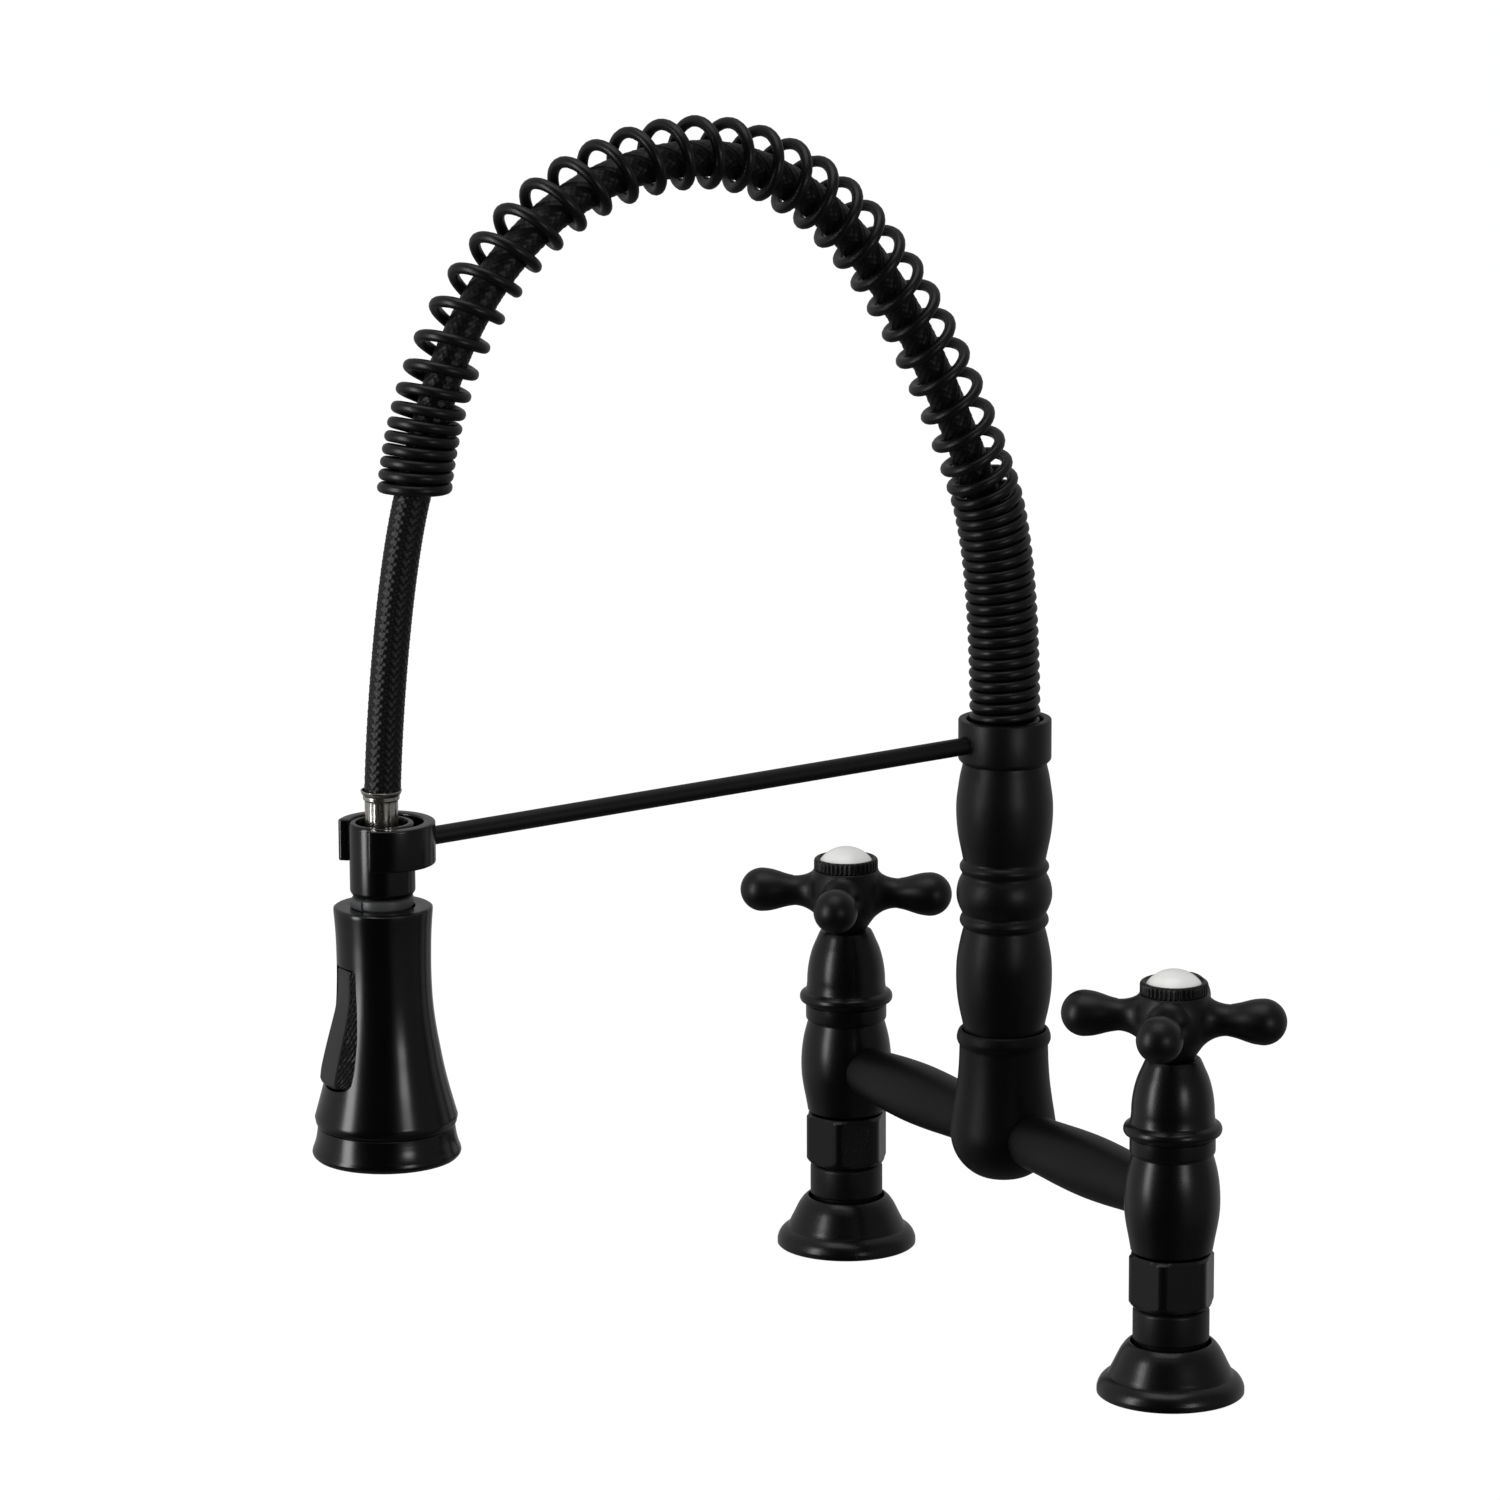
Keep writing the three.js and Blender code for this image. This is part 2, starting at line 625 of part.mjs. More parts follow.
const arch = new THREE.CurvePath();
arch.add(new THREE.CubicBezierCurve3(
  inArch(0, 0), inArch(0, 0.1224), along(kneePoint, leaning, -21.1), kneePoint,
));
arch.add(new THREE.CubicBezierCurve3(
  kneePoint, along(kneePoint, leaning, 68), along(topPoint, level, 54.1), topPoint,
));
arch.add(new THREE.CubicBezierCurve3(
  topPoint, along(topPoint, level, -58.9), along(endPoint, dropping, 54.1), endPoint,
));
const archLength = arch.getLength();

const tightStart = 75.1;                  // closed coils above the collar
const rampUp = 37.9;
const rampDown = 46.8;
const tightEnd = 14.6;                      // closed coils at the free end
const smooth = (t) => THREE.MathUtils.smoothstep(t, 0, 1);

function pitchAt(s) {
  const opening = smooth((s - tightStart) / rampUp);
  const closing = smooth((archLength - tightEnd - s) / rampDown);
  return tightPitch + (openPitch - tightPitch) * Math.min(opening, closing);
}

// arc lengths at which the wire has made each further 1/stepsPerCurl of a turn
function coilStations(from, to) {
  const stations = [];
  let turns = 0;
  let s = from;
  const fine = 0.05;
  let next = 0;
  while (s <= to) {
    if (turns >= next) {
      stations.push([s, turns]);
      next += 1 / stepsPerCurl;
    }
    turns += fine / pitchAt(s);
    s += fine;
  }
  return stations;
}

function archFrame(s) {
  const u = THREE.MathUtils.clamp(s / archLength, 0, 1);
  const at = arch.getPointAt(u);
  const t = arch.getTangentAt(u);
  return { at, t, out: v3(0, t.z, -t.y) };
}

const firstTip = 11.5;                    // arc length of a coil's outermost point
const wireStart = springSeat + wireR + 0.1 - archBase;
const wireEnd = archLength - wireR;
const turnAtStart = -(firstTip - wireStart) / tightPitch;

const coilStops = coilStations(wireStart, wireEnd);

// a point on the wire's axis, and the level direction in which the wire runs on there
function wireAt([s, turns]) {
  const { at, out } = archFrame(s);
  const angle = 2 * Math.PI * (turns + turnAtStart);
  const spoke = out.clone().multiplyScalar(Math.cos(angle)).add(v3(-Math.sin(angle), 0, 0));
  const onward = out.multiplyScalar(-Math.sin(angle)).add(v3(-Math.cos(angle), 0, 0));
  return { at: at.addScaledVector(spoke, coilR), onward };
}

const wirePoints = coilStops.map((stop) => wireAt(stop).at);
{
  const first = wireAt(coilStops[0]);
  const last = wireAt(coilStops[coilStops.length - 1]);
  wirePoints.unshift(first.at.addScaledVector(first.onward, -2 * wireR));
  wirePoints.push(last.at.addScaledVector(last.onward, 2 * wireR));
}

class Polyline extends THREE.Curve {
  constructor(points) {
    super();
    this.points = points;
  }

  getPoint(t, target = new THREE.Vector3()) {
    const f = t * (this.points.length - 1);
    const i = Math.min(Math.floor(f), this.points.length - 2);
    return target.copy(this.points[i]).lerp(this.points[i + 1], f - i);
  }

  getPointAt(t, target) {
    return this.getPoint(t, target);
  }

  getTangentAt(t, target = new THREE.Vector3()) {
    const n = this.points.length - 1;
    const i = Math.round(t * n);
    const a = this.points[Math.max(i - 1, 0)];
    const b = this.points[Math.min(i + 1, n)];
    return target.copy(b).sub(a).normalize();
  }
}

function pipe(points, outer, inner, count) {
  const shape = new THREE.Shape(ring(count, outer).map(([x, y]) => v2(x, y)));
  if (inner > 0) shape.holes.push(new THREE.Path(ring(count, inner).map(([x, y]) => v2(x, y))));
  return new THREE.ExtrudeGeometry(shape, {
    steps: points.length - 1, extrudePath: new Polyline(points), bevelEnabled: false,
  });
}

{
  let least = Infinity;
  const n = wirePoints.length;
  for (let i = 1; i < n - 1; i += 1) {
    for (let j = i + stepsPerCurl - 3; j < Math.min(i + stepsPerCurl + 4, n - 1); j += 1) {
      const a = wirePoints[j];
      const b = wirePoints[j + 1] ?? a;
      const nearest = new THREE.Line3(a, b).closestPointToPoint(wirePoints[i], true, new THREE.Vector3());
      least = Math.min(least, nearest.distanceTo(wirePoints[i]));
    }
  }
  const curls = (n - 3) / stepsPerCurl;
  console.log(`arch length ${archLength.toFixed(1)} mm`);
  console.log(`spring: ${curls.toFixed(1)} curls, least gap to itself ${(least - 2 * wireR).toFixed(2)} mm`);
}
place('spring', body(pipe(wirePoints, wireR, 0, 5)), 'wire');

const hug = coilR * 0.924 - wireR - hoseR - 0.9;  // how far the hose lies to the inside of the bend
const hoseStart = springSeat + 0.4;

// it lies on the inner side of the bend, and swings over to the outer side at the free end
const outerShift = 0.65;
const swing = 25;
function hoseShift(s) {
  const t = Math.max(s - (archLength - swing), 0) / swing;
  return (hug + outerShift) * t * t - hug * smooth((s - 35) / 90);
}

const partAngle = dropAngle + (2 * (hug + outerShift)) / swing;
const parting = v3(0, Math.sin(partAngle), Math.cos(partAngle));
const hoseSteps = 15;
const stops = [17, 9, 2].map((back) => archLength - back);
for (let i = hoseSteps; i >= 0; i -= 1) stops.unshift(((archLength - swing) * i) / hoseSteps);
const hosePoints = [...stops, archLength].map((s) => {
  const { at, out } = archFrame(s);
  return at.addScaledVector(out, hoseShift(s));
});
hosePoints[0].z = hoseStart;
const hoseEnd = hosePoints[hosePoints.length - 1];
place('hose_arch', body(pipe(hosePoints, hoseR, hoseBore, 8)), 'braid');

const lowerCurve = new THREE.CubicBezierCurve3(
  hoseEnd.clone().addScaledVector(parting, -2.2), along(hoseEnd, parting, -25),
  v3(0, -reach, ferruleTop + 25), v3(0, -reach, ferruleTop + 1.5),
);
const lowerPoints = [hoseEnd.clone().addScaledVector(parting, -0.2)];
for (let i = 0; i <= 3; i += 1) lowerPoints.push(lowerCurve.getPoint(i / 3));
lowerPoints.push(v3(0, -reach, ferruleTop - 1.5));
place('hose_lower', body(pipe(lowerPoints, hoseR, hoseBore, 8)), 'braid');

// ---------------------------------------------------------------- wand, built on its own axis
const atWand = (solid) => solid.translate([0, -reach, 0]);

place('hose_ferrule', atWand(turned([
  [3.2, clipTop - 12], [5.8, clipTop - 12], [5.8, ferruleTop - 2.6], [6.85, ferruleTop - 1],
  [6.95, ferruleTop], [hoseR + 0.35, ferruleTop],
  [hoseR + 0.35, ferruleTop - 1.6], [3.2, ferruleTop - 1.6],
], 12)), 'nickel');

place('wand_neck', atWand(turned([
  [6.1, neckBottom + 2], [9.6, neckBottom], [neckR, neckBottom + 0.9],
  [neckR, clipTop - 0.6], [neckR - 0.5, clipTop - 0.1], [6.1, clipTop - 0.1],
])), 'black');

place('neck_ring', atWand(turned([
  [6.1, shellTop - 4], [9.3, shellTop - 4], [9.3, neckBottom], [8.6, neckBottom + 0.2],
  [6.1, neckBottom + 1.4],
])), 'greyPlastic');

const flareZ = shellTop - 47.6;
const waistZ = shellTop - 27.6;
const shellOutline = [
  ...bow([22.9, skirtTop + 3], [18.1, flareZ], [15.35, waistZ], 4),
  ...bow([15.35, waistZ], [14.95, waistZ + 11.5], [15.5, waistZ + 24], 2).slice(1),
  [15.8, shellTop - 1], [15.4, shellTop],
];

// the button: a flat face on the front of the shell that stands further out lower down,
// bevelled cheeks beside it, and a thick root that rocks on a cross pin inside a tray
const rockerLength = 37;
const rockerTop = shellTop - 19.1;
const rockerBottom = rockerTop - rockerLength;
const rockerHalf = 7.2;
const rockerRoot = 5.8;                   // depth of the root behind the shell's surface
const pinZ = rockerTop - 16.5;
const pinDepth = 3.9;
const trayWall = 1.5;
const rockerGap = 0.35;                   // beside the button
const rockerEndGap = 0.7;                 // above and below it, where its ends swing

function frontOf(z) {
  for (let i = 1; i < shellOutline.length; i += 1) {
    const [r0, z0] = shellOutline[i - 1];
    const [r1, z1] = shellOutline[i];
    if (z <= z1) return r0 + ((r1 - r0) * (z - z0)) / (z1 - z0);
  }
  return shellOutline[0][0];
}

const faceAt = (z) => frontOf(z) - 0.8 + (2.7 * (rockerTop - z)) / (rockerTop - rockerBottom);
const cheekAt = (z) => (faceAt(z) + 4.5) * Math.SQRT1_2;
const rootAt = (z) => frontOf(z) - rockerRoot;
const trayAt = (z) => rootAt(z) - 0.3 - 0.1 * Math.max(pinZ - z, 0);

// block between two side-view lines, far and near in front of the axis, across the front
function frontBlock(far, near, half, over = 0) {
  const heights = [];
  for (let i = 0; i <= 4; i += 1) {
    heights.push(rockerBottom - over + ((rockerTop - rockerBottom + 2 * over) * i) / 4);
  }
  const outline = heights.map((z) => [far(z), z]);
  outline.push([near(heights[4]), heights[4]], [near(pinZ), pinZ], [near(heights[0]), heights[0]]);
  return prism(outline, -half, half).rotate([90, 0, 0]).rotate([0, 0, -90]);
}

function sprayButton() {
  const cheek = frontBlock(cheekAt, () => -30, 40);
  const block = frontBlock(faceAt, rootAt, rockerHalf);
  return block.intersect(cheek.rotate([0, 0, 45])).intersect(cheek.rotate([0, 0, -45]));
}

const pinR = 1;
const pinHalf = rockerHalf + 1.4;
const pinAt = [0, pinDepth - frontOf(pinZ), pinZ];
const pinRod = (r, half) => alongX(rod(r, -half, half, 8)).translate(pinAt);

function wandShell() {
  const outer = turned([[0, skirtTop - 3], [20.5, skirtTop - 3], [20.5, skirtTop + 1],
    [22.2, skirtTop + 1], ...shellOutline, [0, shellTop]], 20);
  const cavity = turned([
    [0, skirtTop - 4], [19.4, skirtTop - 4], [19.4, skirtTop + 5],
    ...bow([18.4, skirtTop + 8], [15.4, flareZ], [12.7, waistZ], 2),
    [12.4, shellTop - 5], [0, shellTop - 5],
  ]);
  const hollow = outer.subtract(cavity).subtract(rod(10, shellTop - 6, shellTop + 1, few));
  const far = () => 40;
  const roomHalf = rockerHalf + rockerGap;
  const floorAt = (z) => trayAt(z) - trayWall;
  const boss = frontBlock(far, floorAt, roomHalf + trayWall, rockerEndGap + trayWall);
  const room = frontBlock(far, trayAt, roomHalf, rockerEndGap);
  const pinHole = pinRod(pinR + slip, pinHalf + 0.1);
  return hollow.add(boss.intersect(outer)).subtract(room).subtract(pinHole);
}

place('wand_shell', atWand(wandShell()), 'black');

place('spray_button', atWand(sprayButton().subtract(pinRod(pinR + running, pinHalf))), 'blackPlastic');
place('button_pin', atWand(pinRod(pinR, pinHalf)), 'steel');

const plateTop = wandBottom + 4;          // inner side of the spray plate
const throatZ = shellTop - 4;             // where the core meets the neck ring
const coreR = 12.5;
const coreStemR = 5.6;
const coreHeadR = 9.3;
const waterwayR = 3;
place('water_core', atWand(turned([
  [waterwayR, plateTop], [coreR, plateTop], [coreR, skirtTop + 2], [coreStemR, skirtTop + 6],
  [coreStemR, throatZ - 8], [coreHeadR, throatZ - 5], [coreHeadR, throatZ], [waterwayR, throatZ],
], few)), 'blackPlastic');

place('wand_skirt', atWand(turned([
  [21, skirtTop - 0.2], [22.1, skirtTop - 0.2], [22.25, skirtTop - 2.6],
  ...bow([22.6, skirtTop - 4.6], [23.5, wandBottom + 3.6], [skirtR, wandBottom + 2], 2),
  [skirtR - 1.5, wandBottom], [21, wandBottom],
])), 'black');

function sprayFace() {
  const plate = turned([
    [0, wandBottom + 0.4], [20.6, wandBottom + 0.4], [20.6, wandBottom + 4], [18.7, wandBottom + 4],
    [18.7, skirtTop], [17, skirtTop], [17, wandBottom + 4], [0, wandBottom + 4],
  ]);
  let face = plate.add(rod(6, wandBottom - 0.2, wandBottom + 1, few));
  const nozzle = turned([[0, wandBottom - 0.7], [0.8, wandBottom - 0.7], [1.2, wandBottom + 1],
    [0, wandBottom + 1]], 4);
  for (let i = 0; i < 6; i += 1) {
    const a = (i / 6) * 2 * Math.PI;
    face = face.add(nozzle.translate([14.5 * Math.cos(a), 14.5 * Math.sin(a), 0]));
  }
  return face.subtract(rod(3.2, wandBottom - 2, wandBottom + 6, few));
}

place('spray_face', atWand(sprayFace()), 'greyPlastic');

export default faucet;
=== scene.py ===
import json
import bmesh
import bpy
import numpy as np
from math import asin, atan, cos, degrees, floor, hypot, pi, radians, sin, sqrt, tan, tau
from mathutils import Matrix, Vector


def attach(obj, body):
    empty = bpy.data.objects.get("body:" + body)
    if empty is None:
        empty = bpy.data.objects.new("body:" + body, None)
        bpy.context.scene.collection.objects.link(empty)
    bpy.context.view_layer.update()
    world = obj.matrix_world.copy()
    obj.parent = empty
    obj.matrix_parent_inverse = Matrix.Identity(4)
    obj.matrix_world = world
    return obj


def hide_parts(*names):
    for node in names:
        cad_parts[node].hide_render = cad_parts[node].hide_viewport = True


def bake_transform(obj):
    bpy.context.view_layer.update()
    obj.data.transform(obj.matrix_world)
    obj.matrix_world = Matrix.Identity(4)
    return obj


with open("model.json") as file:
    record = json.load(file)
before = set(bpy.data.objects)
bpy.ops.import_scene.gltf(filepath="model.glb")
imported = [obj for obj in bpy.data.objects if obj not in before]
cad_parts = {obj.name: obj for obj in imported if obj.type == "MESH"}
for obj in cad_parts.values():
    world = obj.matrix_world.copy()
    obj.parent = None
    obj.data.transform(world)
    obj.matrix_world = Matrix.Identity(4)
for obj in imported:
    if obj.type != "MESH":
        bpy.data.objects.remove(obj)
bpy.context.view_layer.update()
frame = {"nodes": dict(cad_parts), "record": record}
print("frame loaded:", len(frame["nodes"]), "nodes")

mm = 0.001


# camera, matched to the photo
camera = {
    "place": (1.94736, -1.27320, 0.72252),
    "azimuth": 58.94,
    "down": 12.688,
    "roll": -0.2543,
    "lens": 169.6,
    "sensor": 36,
}


def added(name, data):
    made = bpy.data.objects.new(name, data)
    bpy.context.scene.collection.objects.link(made)
    return made


def makeCamera():
    a, p, r = (radians(camera[k]) for k in ("azimuth", "down", "roll"))
    forward = Vector((-sin(a) * cos(p), cos(a) * cos(p), -sin(p)))
    right = Vector((cos(a), sin(a), 0))
    up = right.cross(forward)
    across = right * cos(r) + up * sin(r)
    upward = up * cos(r) - right * sin(r)
    data = bpy.data.cameras.new("camera")
    data.lens = camera["lens"]
    data.sensor_width = camera["sensor"]
    data.clip_start, data.clip_end = 0.1, 30
    holder = added("camera", data)
    turn = Matrix((across, upward, -forward)).transposed().to_4x4()
    holder.matrix_world = Matrix.Translation(camera["place"]) @ turn
    bpy.context.scene.camera = holder


makeCamera()


# studio: white backdrop, a tall soft box in front, a small one at the right, one above
studio = {
    "floorSize": 8,
    "ambient": 0.62,
    "floorTone": (0.93, 0.95),
    "floorGlow": 1.06,
    "around": (0.16, 0.37),  # what gloss sees at the right, and at the left and behind
    "paleTurn": 175,  # heading of the palest side, degrees from +X
    "paleEdge": (-0.45, 0.15),  # each edge is a range of the cosine from that heading
    "dark": 0.004,  # what gloss sees in front, between the two boxes
    "darkTurn": -56.5,
    "darkEdge": (0.56, 0.75),
    "beneath": 0.28,  # share of the walls left for gloss that looks down
    "beneathEdge": (-0.6, -0.25),
    "boxes": {
        "frontBox": dict(at=(-0.05, -1.0, 0.32), aim=(-0.05, 0, 0.32), wide=0.22, tall=0.70, watts=3.7),
        "lowBox": dict(at=(-0.05, -1.0, -0.10), aim=(-0.05, 0, -0.10), wide=0.22, tall=0.14, watts=0.09),
        "sideBox": dict(at=(1.75, -0.03, 0.38), aim=(0, -0.1, 0.17), wide=0.44, tall=0.34, watts=2.6),
        "topBox": dict(at=(0.2, -0.3, 2.1), aim=(0, -0.1, 0.2), wide=1.5, tall=1.5, watts=9),
    },
}


def graph(owner):
    owner.use_nodes = True
    tree = owner.node_tree
    tree.nodes.clear()
    return tree


# inputs take values, sockets, or nodes for their first output
def wire(tree, kind, inputs=None, **settings):
    made = tree.nodes.new("ShaderNode" + kind)
    for name, value in settings.items():
        setattr(made, name, value)
    for name, value in (inputs or {}).items():
        if isinstance(value, bpy.types.Node):
            value = value.outputs[0]
        if isinstance(value, bpy.types.NodeSocket):
            tree.links.new(value, made.inputs[name])
        else:
            made.inputs[name].default_value = value
    return made


# a value moved from one range to another
def ranged(tree, value, levels, edge=(0.0, 1.0), **settings):
    return wire(tree, "MapRange", {
        "Value": value, "From Min": edge[0], "From Max": edge[1], "To Min": levels[0], "To Max": levels[1],
    }, **settings)


def makeWorld():
    world = bpy.data.worlds.new("studioAir")
    bpy.context.scene.world = world
    tree = graph(world)
    direction = wire(tree, "TexCoord").outputs["Generated"]

    def towards(turn, edge, levels):
        heading = (cos(radians(turn)), sin(radians(turn)), 0)
        facing = wire(tree, "VectorMath", {0: direction, 1: heading}, operation="DOT_PRODUCT")
        return ranged(tree, facing.outputs["Value"], levels, edge, interpolation_type="SMOOTHSTEP")
    pale = towards(studio["paleTurn"], studio["paleEdge"], studio["around"])
    height = wire(tree, "SeparateXYZ", {0: direction}).outputs["Z"]
    lower = ranged(tree, height, (studio["beneath"], 1.0), studio["beneathEdge"])
    walls = wire(tree, "Math", {0: pale, 1: lower}, operation="MULTIPLY")
    middle = towards(studio["darkTurn"], studio["darkEdge"], (0.0, 1.0))
    spread = wire(tree, "Mix", {"Factor": middle, 2: walls, 3: studio["dark"]})
    ray = wire(tree, "LightPath").outputs
    gloss = wire(tree, "Mix", {"Factor": ray["Is Glossy Ray"], 2: studio["ambient"], 3: spread})
    clear = wire(tree, "Math", {0: ray["Is Camera Ray"], 1: ray["Is Transmission Ray"]}, operation="MAXIMUM")
    level = wire(tree, "Mix", {"Factor": clear, 2: gloss, 3: 1.0})
    air = wire(tree, "Background", {"Color": (1, 1, 1, 1), "Strength": level})
    wire(tree, "OutputWorld", {"Surface": air})


def makeBoxes():
    for name, box in studio["boxes"].items():
        data = bpy.data.lights.new(name, "AREA")
        data.shape = "RECTANGLE"
        data.size, data.size_y = box["wide"], box["tall"]
        data.energy = box["watts"]
        lamp = added(name, data)
        lamp.location = box["at"]
        lamp.rotation_euler = (Vector(box["aim"]) - Vector(box["at"])).to_track_quat("-Z", "Y").to_euler()


def makeFloor():
    half = studio["floorSize"] / 2 / mm
    ground = meshObject("floor", [(-half, -half, 0), (half, -half, 0), (half, half, 0), (-half, half, 0)],
                        [(0, 1, 2, 3)])
    paint = bpy.data.materials.new("paleFloor")
    tree = graph(paint)
    ray = wire(tree, "LightPath").outputs
    sheen = wire(tree, "TexNoise", {"Scale": 3.0})
    tone = ranged(tree, sheen, studio["floorTone"])
    matte = wire(tree, "BsdfDiffuse", {"Color": tone})
    glow = wire(tree, "Emission", {"Color": (1, 1, 1, 1), "Strength": studio["floorGlow"]})
    # the camera sees mostly the even glow, and a tenth of the shaded floor
    seen = wire(tree, "Math", {0: ray["Is Camera Ray"], 1: 0.9}, operation="MULTIPLY")
    lit = wire(tree, "MixShader", {0: seen, 1: matte, 2: glow})
    # seen from below, and by gloss and shadow rays, the floor is open
    below = wire(tree, "NewGeometry").outputs["Backfacing"]
    passing = wire(tree, "Math", {0: ray["Is Glossy Ray"], 1: ray["Is Shadow Ray"]}, operation="MAXIMUM")
    through = wire(tree, "Math", {0: passing, 1: below}, operation="MAXIMUM")
    gone = wire(tree, "BsdfTransparent")
    skin = wire(tree, "MixShader", {0: through, 1: lit, 2: gone})
    wire(tree, "OutputMaterial", {"Surface": skin})
    ground.data.materials.append(paint)


# mesh tools: everything is drawn in millimetres
def meshObject(name, points, faces):
    mesh = bpy.data.meshes.new(name)
    mesh.from_pydata([(x * mm, y * mm, z * mm) for x, y, z in points], [], faces)
    work = bmesh.new()
    work.from_mesh(mesh)
    bmesh.ops.recalc_face_normals(work, faces=work.faces)
    work.to_mesh(mesh)
    work.free()
    return added(name, mesh)


# a smooth run through (r, z) points
def flowing(points, steps=5):
    p = [Vector(q) for q in points]
    at = [0.0]
    for a, b in zip(p, p[1:]):
        at.append(at[-1] + max((b - a).length, 1e-6))
    slopes = []
    for i in range(len(p)):
        if 0 < i < len(p) - 1:
            h0, h1 = at[i] - at[i - 1], at[i + 1] - at[i]
            d0, d1 = (p[i] - p[i - 1]) / h0, (p[i + 1] - p[i]) / h1
            slopes.append((d0 * h1 + d1 * h0) / (h0 + h1))
        else:
            j = max(i, 1)
            slopes.append((p[j] - p[j - 1]) / (at[j] - at[j - 1]))
    run = [tuple(p[0])]
    for i in range(len(p) - 1):
        h = at[i + 1] - at[i]
        for k in range(1, steps + 1):
            t = k / steps
            spot = (p[i] * (2 * t**3 - 3 * t**2 + 1) + slopes[i] * h * (t**3 - 2 * t**2 + t)
                    + p[i + 1] * (3 * t**2 - 2 * t**3) + slopes[i + 1] * h * (t**3 - t**2))
            run.append(tuple(spot))
    return run


# corners given as (r, z, radius) are eased off; the outline closes unless it ends on the axis
def eased(outline, steps):
    share = 0.48  # the most of an edge that an easing takes
    closed = outline[0][0] > 0 or outline[-1][0] > 0
    n = len(outline)
    run = []
    for i, corner in enumerate(outline):
        b = Vector(corner[:2])
        radius = corner[2] if len(corner) > 2 else 0
        if radius <= 0 or (not closed and i in (0, n - 1)):
            run.append(tuple(b))
            continue
        a, c = Vector(outline[i - 1][:2]), Vector(outline[(i + 1) % n][:2])
        start = b + (a - b).normalized() * min(radius, share * (a - b).length)
        stop = b + (c - b).normalized() * min(radius, share * (c - b).length)
        for k in range(steps + 1):
            t = k / steps
            run.append(tuple(start * (1 - t) ** 2 + b * 2 * t * (1 - t) + stop * t * t))
    return run


# the radius of an outline at a height
def radiusOf(run, z):
    rs, zs = np.array(run).T
    order = np.argsort(zs)
    return float(np.interp(z, zs[order], rs[order]))


# an eased outline turned about Z; shape(r, z, angle) gives another radius
def lathe(name, outline, around=72, angles=None, shape=None, steps=3):
    outline = eased(outline, steps)
    angles = angles or [tau * i / around for i in range(around)]
    n = len(angles)
    onAxis = 1e-6
    closed = outline[0][0] > onAxis or outline[-1][0] > onAxis
    points, rings = [], []
    for r, z in outline:
        if r < onAxis:
            rings.append([len(points)])
            points.append((0, 0, z))
            continue
        rings.append(list(range(len(points), len(points) + n)))
        for a in angles:
            shaped = shape(r, z, a) if shape else r
            points.append((shaped * cos(a), shaped * sin(a), z))
    faces = []
    pairs = list(zip(rings, rings[1:])) + ([(rings[-1], rings[0])] if closed else [])
    for low, high in pairs:
        for i in range(n):
            j = (i + 1) % n
            face = [low[i % len(low)], low[j % len(low)], high[j % len(high)], high[i % len(high)]]
            faces.append(list(dict.fromkeys(face)))
    return meshObject(name, points, faces)


# rows of points, each row a closed ring; the two ends are shut with fans
def loft(name, rows):
    n = len(rows[0])
    points = [q for row in rows for q in row]
    faces = []
    for k in range(len(rows) - 1):
        for i in range(n):
            j = (i + 1) % n
            faces.append((k * n + i, k * n + j, (k + 1) * n + j, (k + 1) * n + i))
    for start in (0, (len(rows) - 1) * n):
        points.append(tuple(np.mean(points[start:start + n], axis=0)))
        for i in range(n):
            faces.append((start + i, start + (i + 1) % n, len(points) - 1))
    return meshObject(name, points, faces)


def move(piece, by=(0, 0, 0), turn=0):
    shift = Matrix.Translation(Vector(by) * mm)
    piece.data.transform(shift @ Matrix.Rotation(radians(turn), 4, "Z"))
    return piece


def tilt(piece, turn):
    piece.data.transform(Matrix.Rotation(radians(turn), 4, "X"))
    return piece


def combined(piece, other, operation="UNION"):
    join = piece.modifiers.new("join", "BOOLEAN")
    join.operation = operation
    join.object = other
    join.solver = "EXACT"
    depsgraph = bpy.context.evaluated_depsgraph_get()
    made = bpy.data.meshes.new_from_object(piece.evaluated_get(depsgraph))
    piece.modifiers.clear()
    old = piece.data
    piece.data = made
    made.name = piece.name
    bpy.data.meshes.remove(old)
    bpy.data.objects.remove(other)
    return piece


def paint(piece, finish):
    piece.data.materials.clear()
    piece.data.materials.append(finishes[finish])


# nodes are the CAD parts it stands for; edges sharper than edge degrees stay sharp
def dress(piece, finish, body, *nodes, edge=30):
    paint(piece, finish)
    piece.data.shade_smooth()
    piece.data.set_sharp_from_angle(angle=radians(edge))
    if body:
        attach(piece, body)
    if nodes:
        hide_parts(*nodes)
    return piece


makeWorld()
makeBoxes()
makeFloor()
print("studio ready")


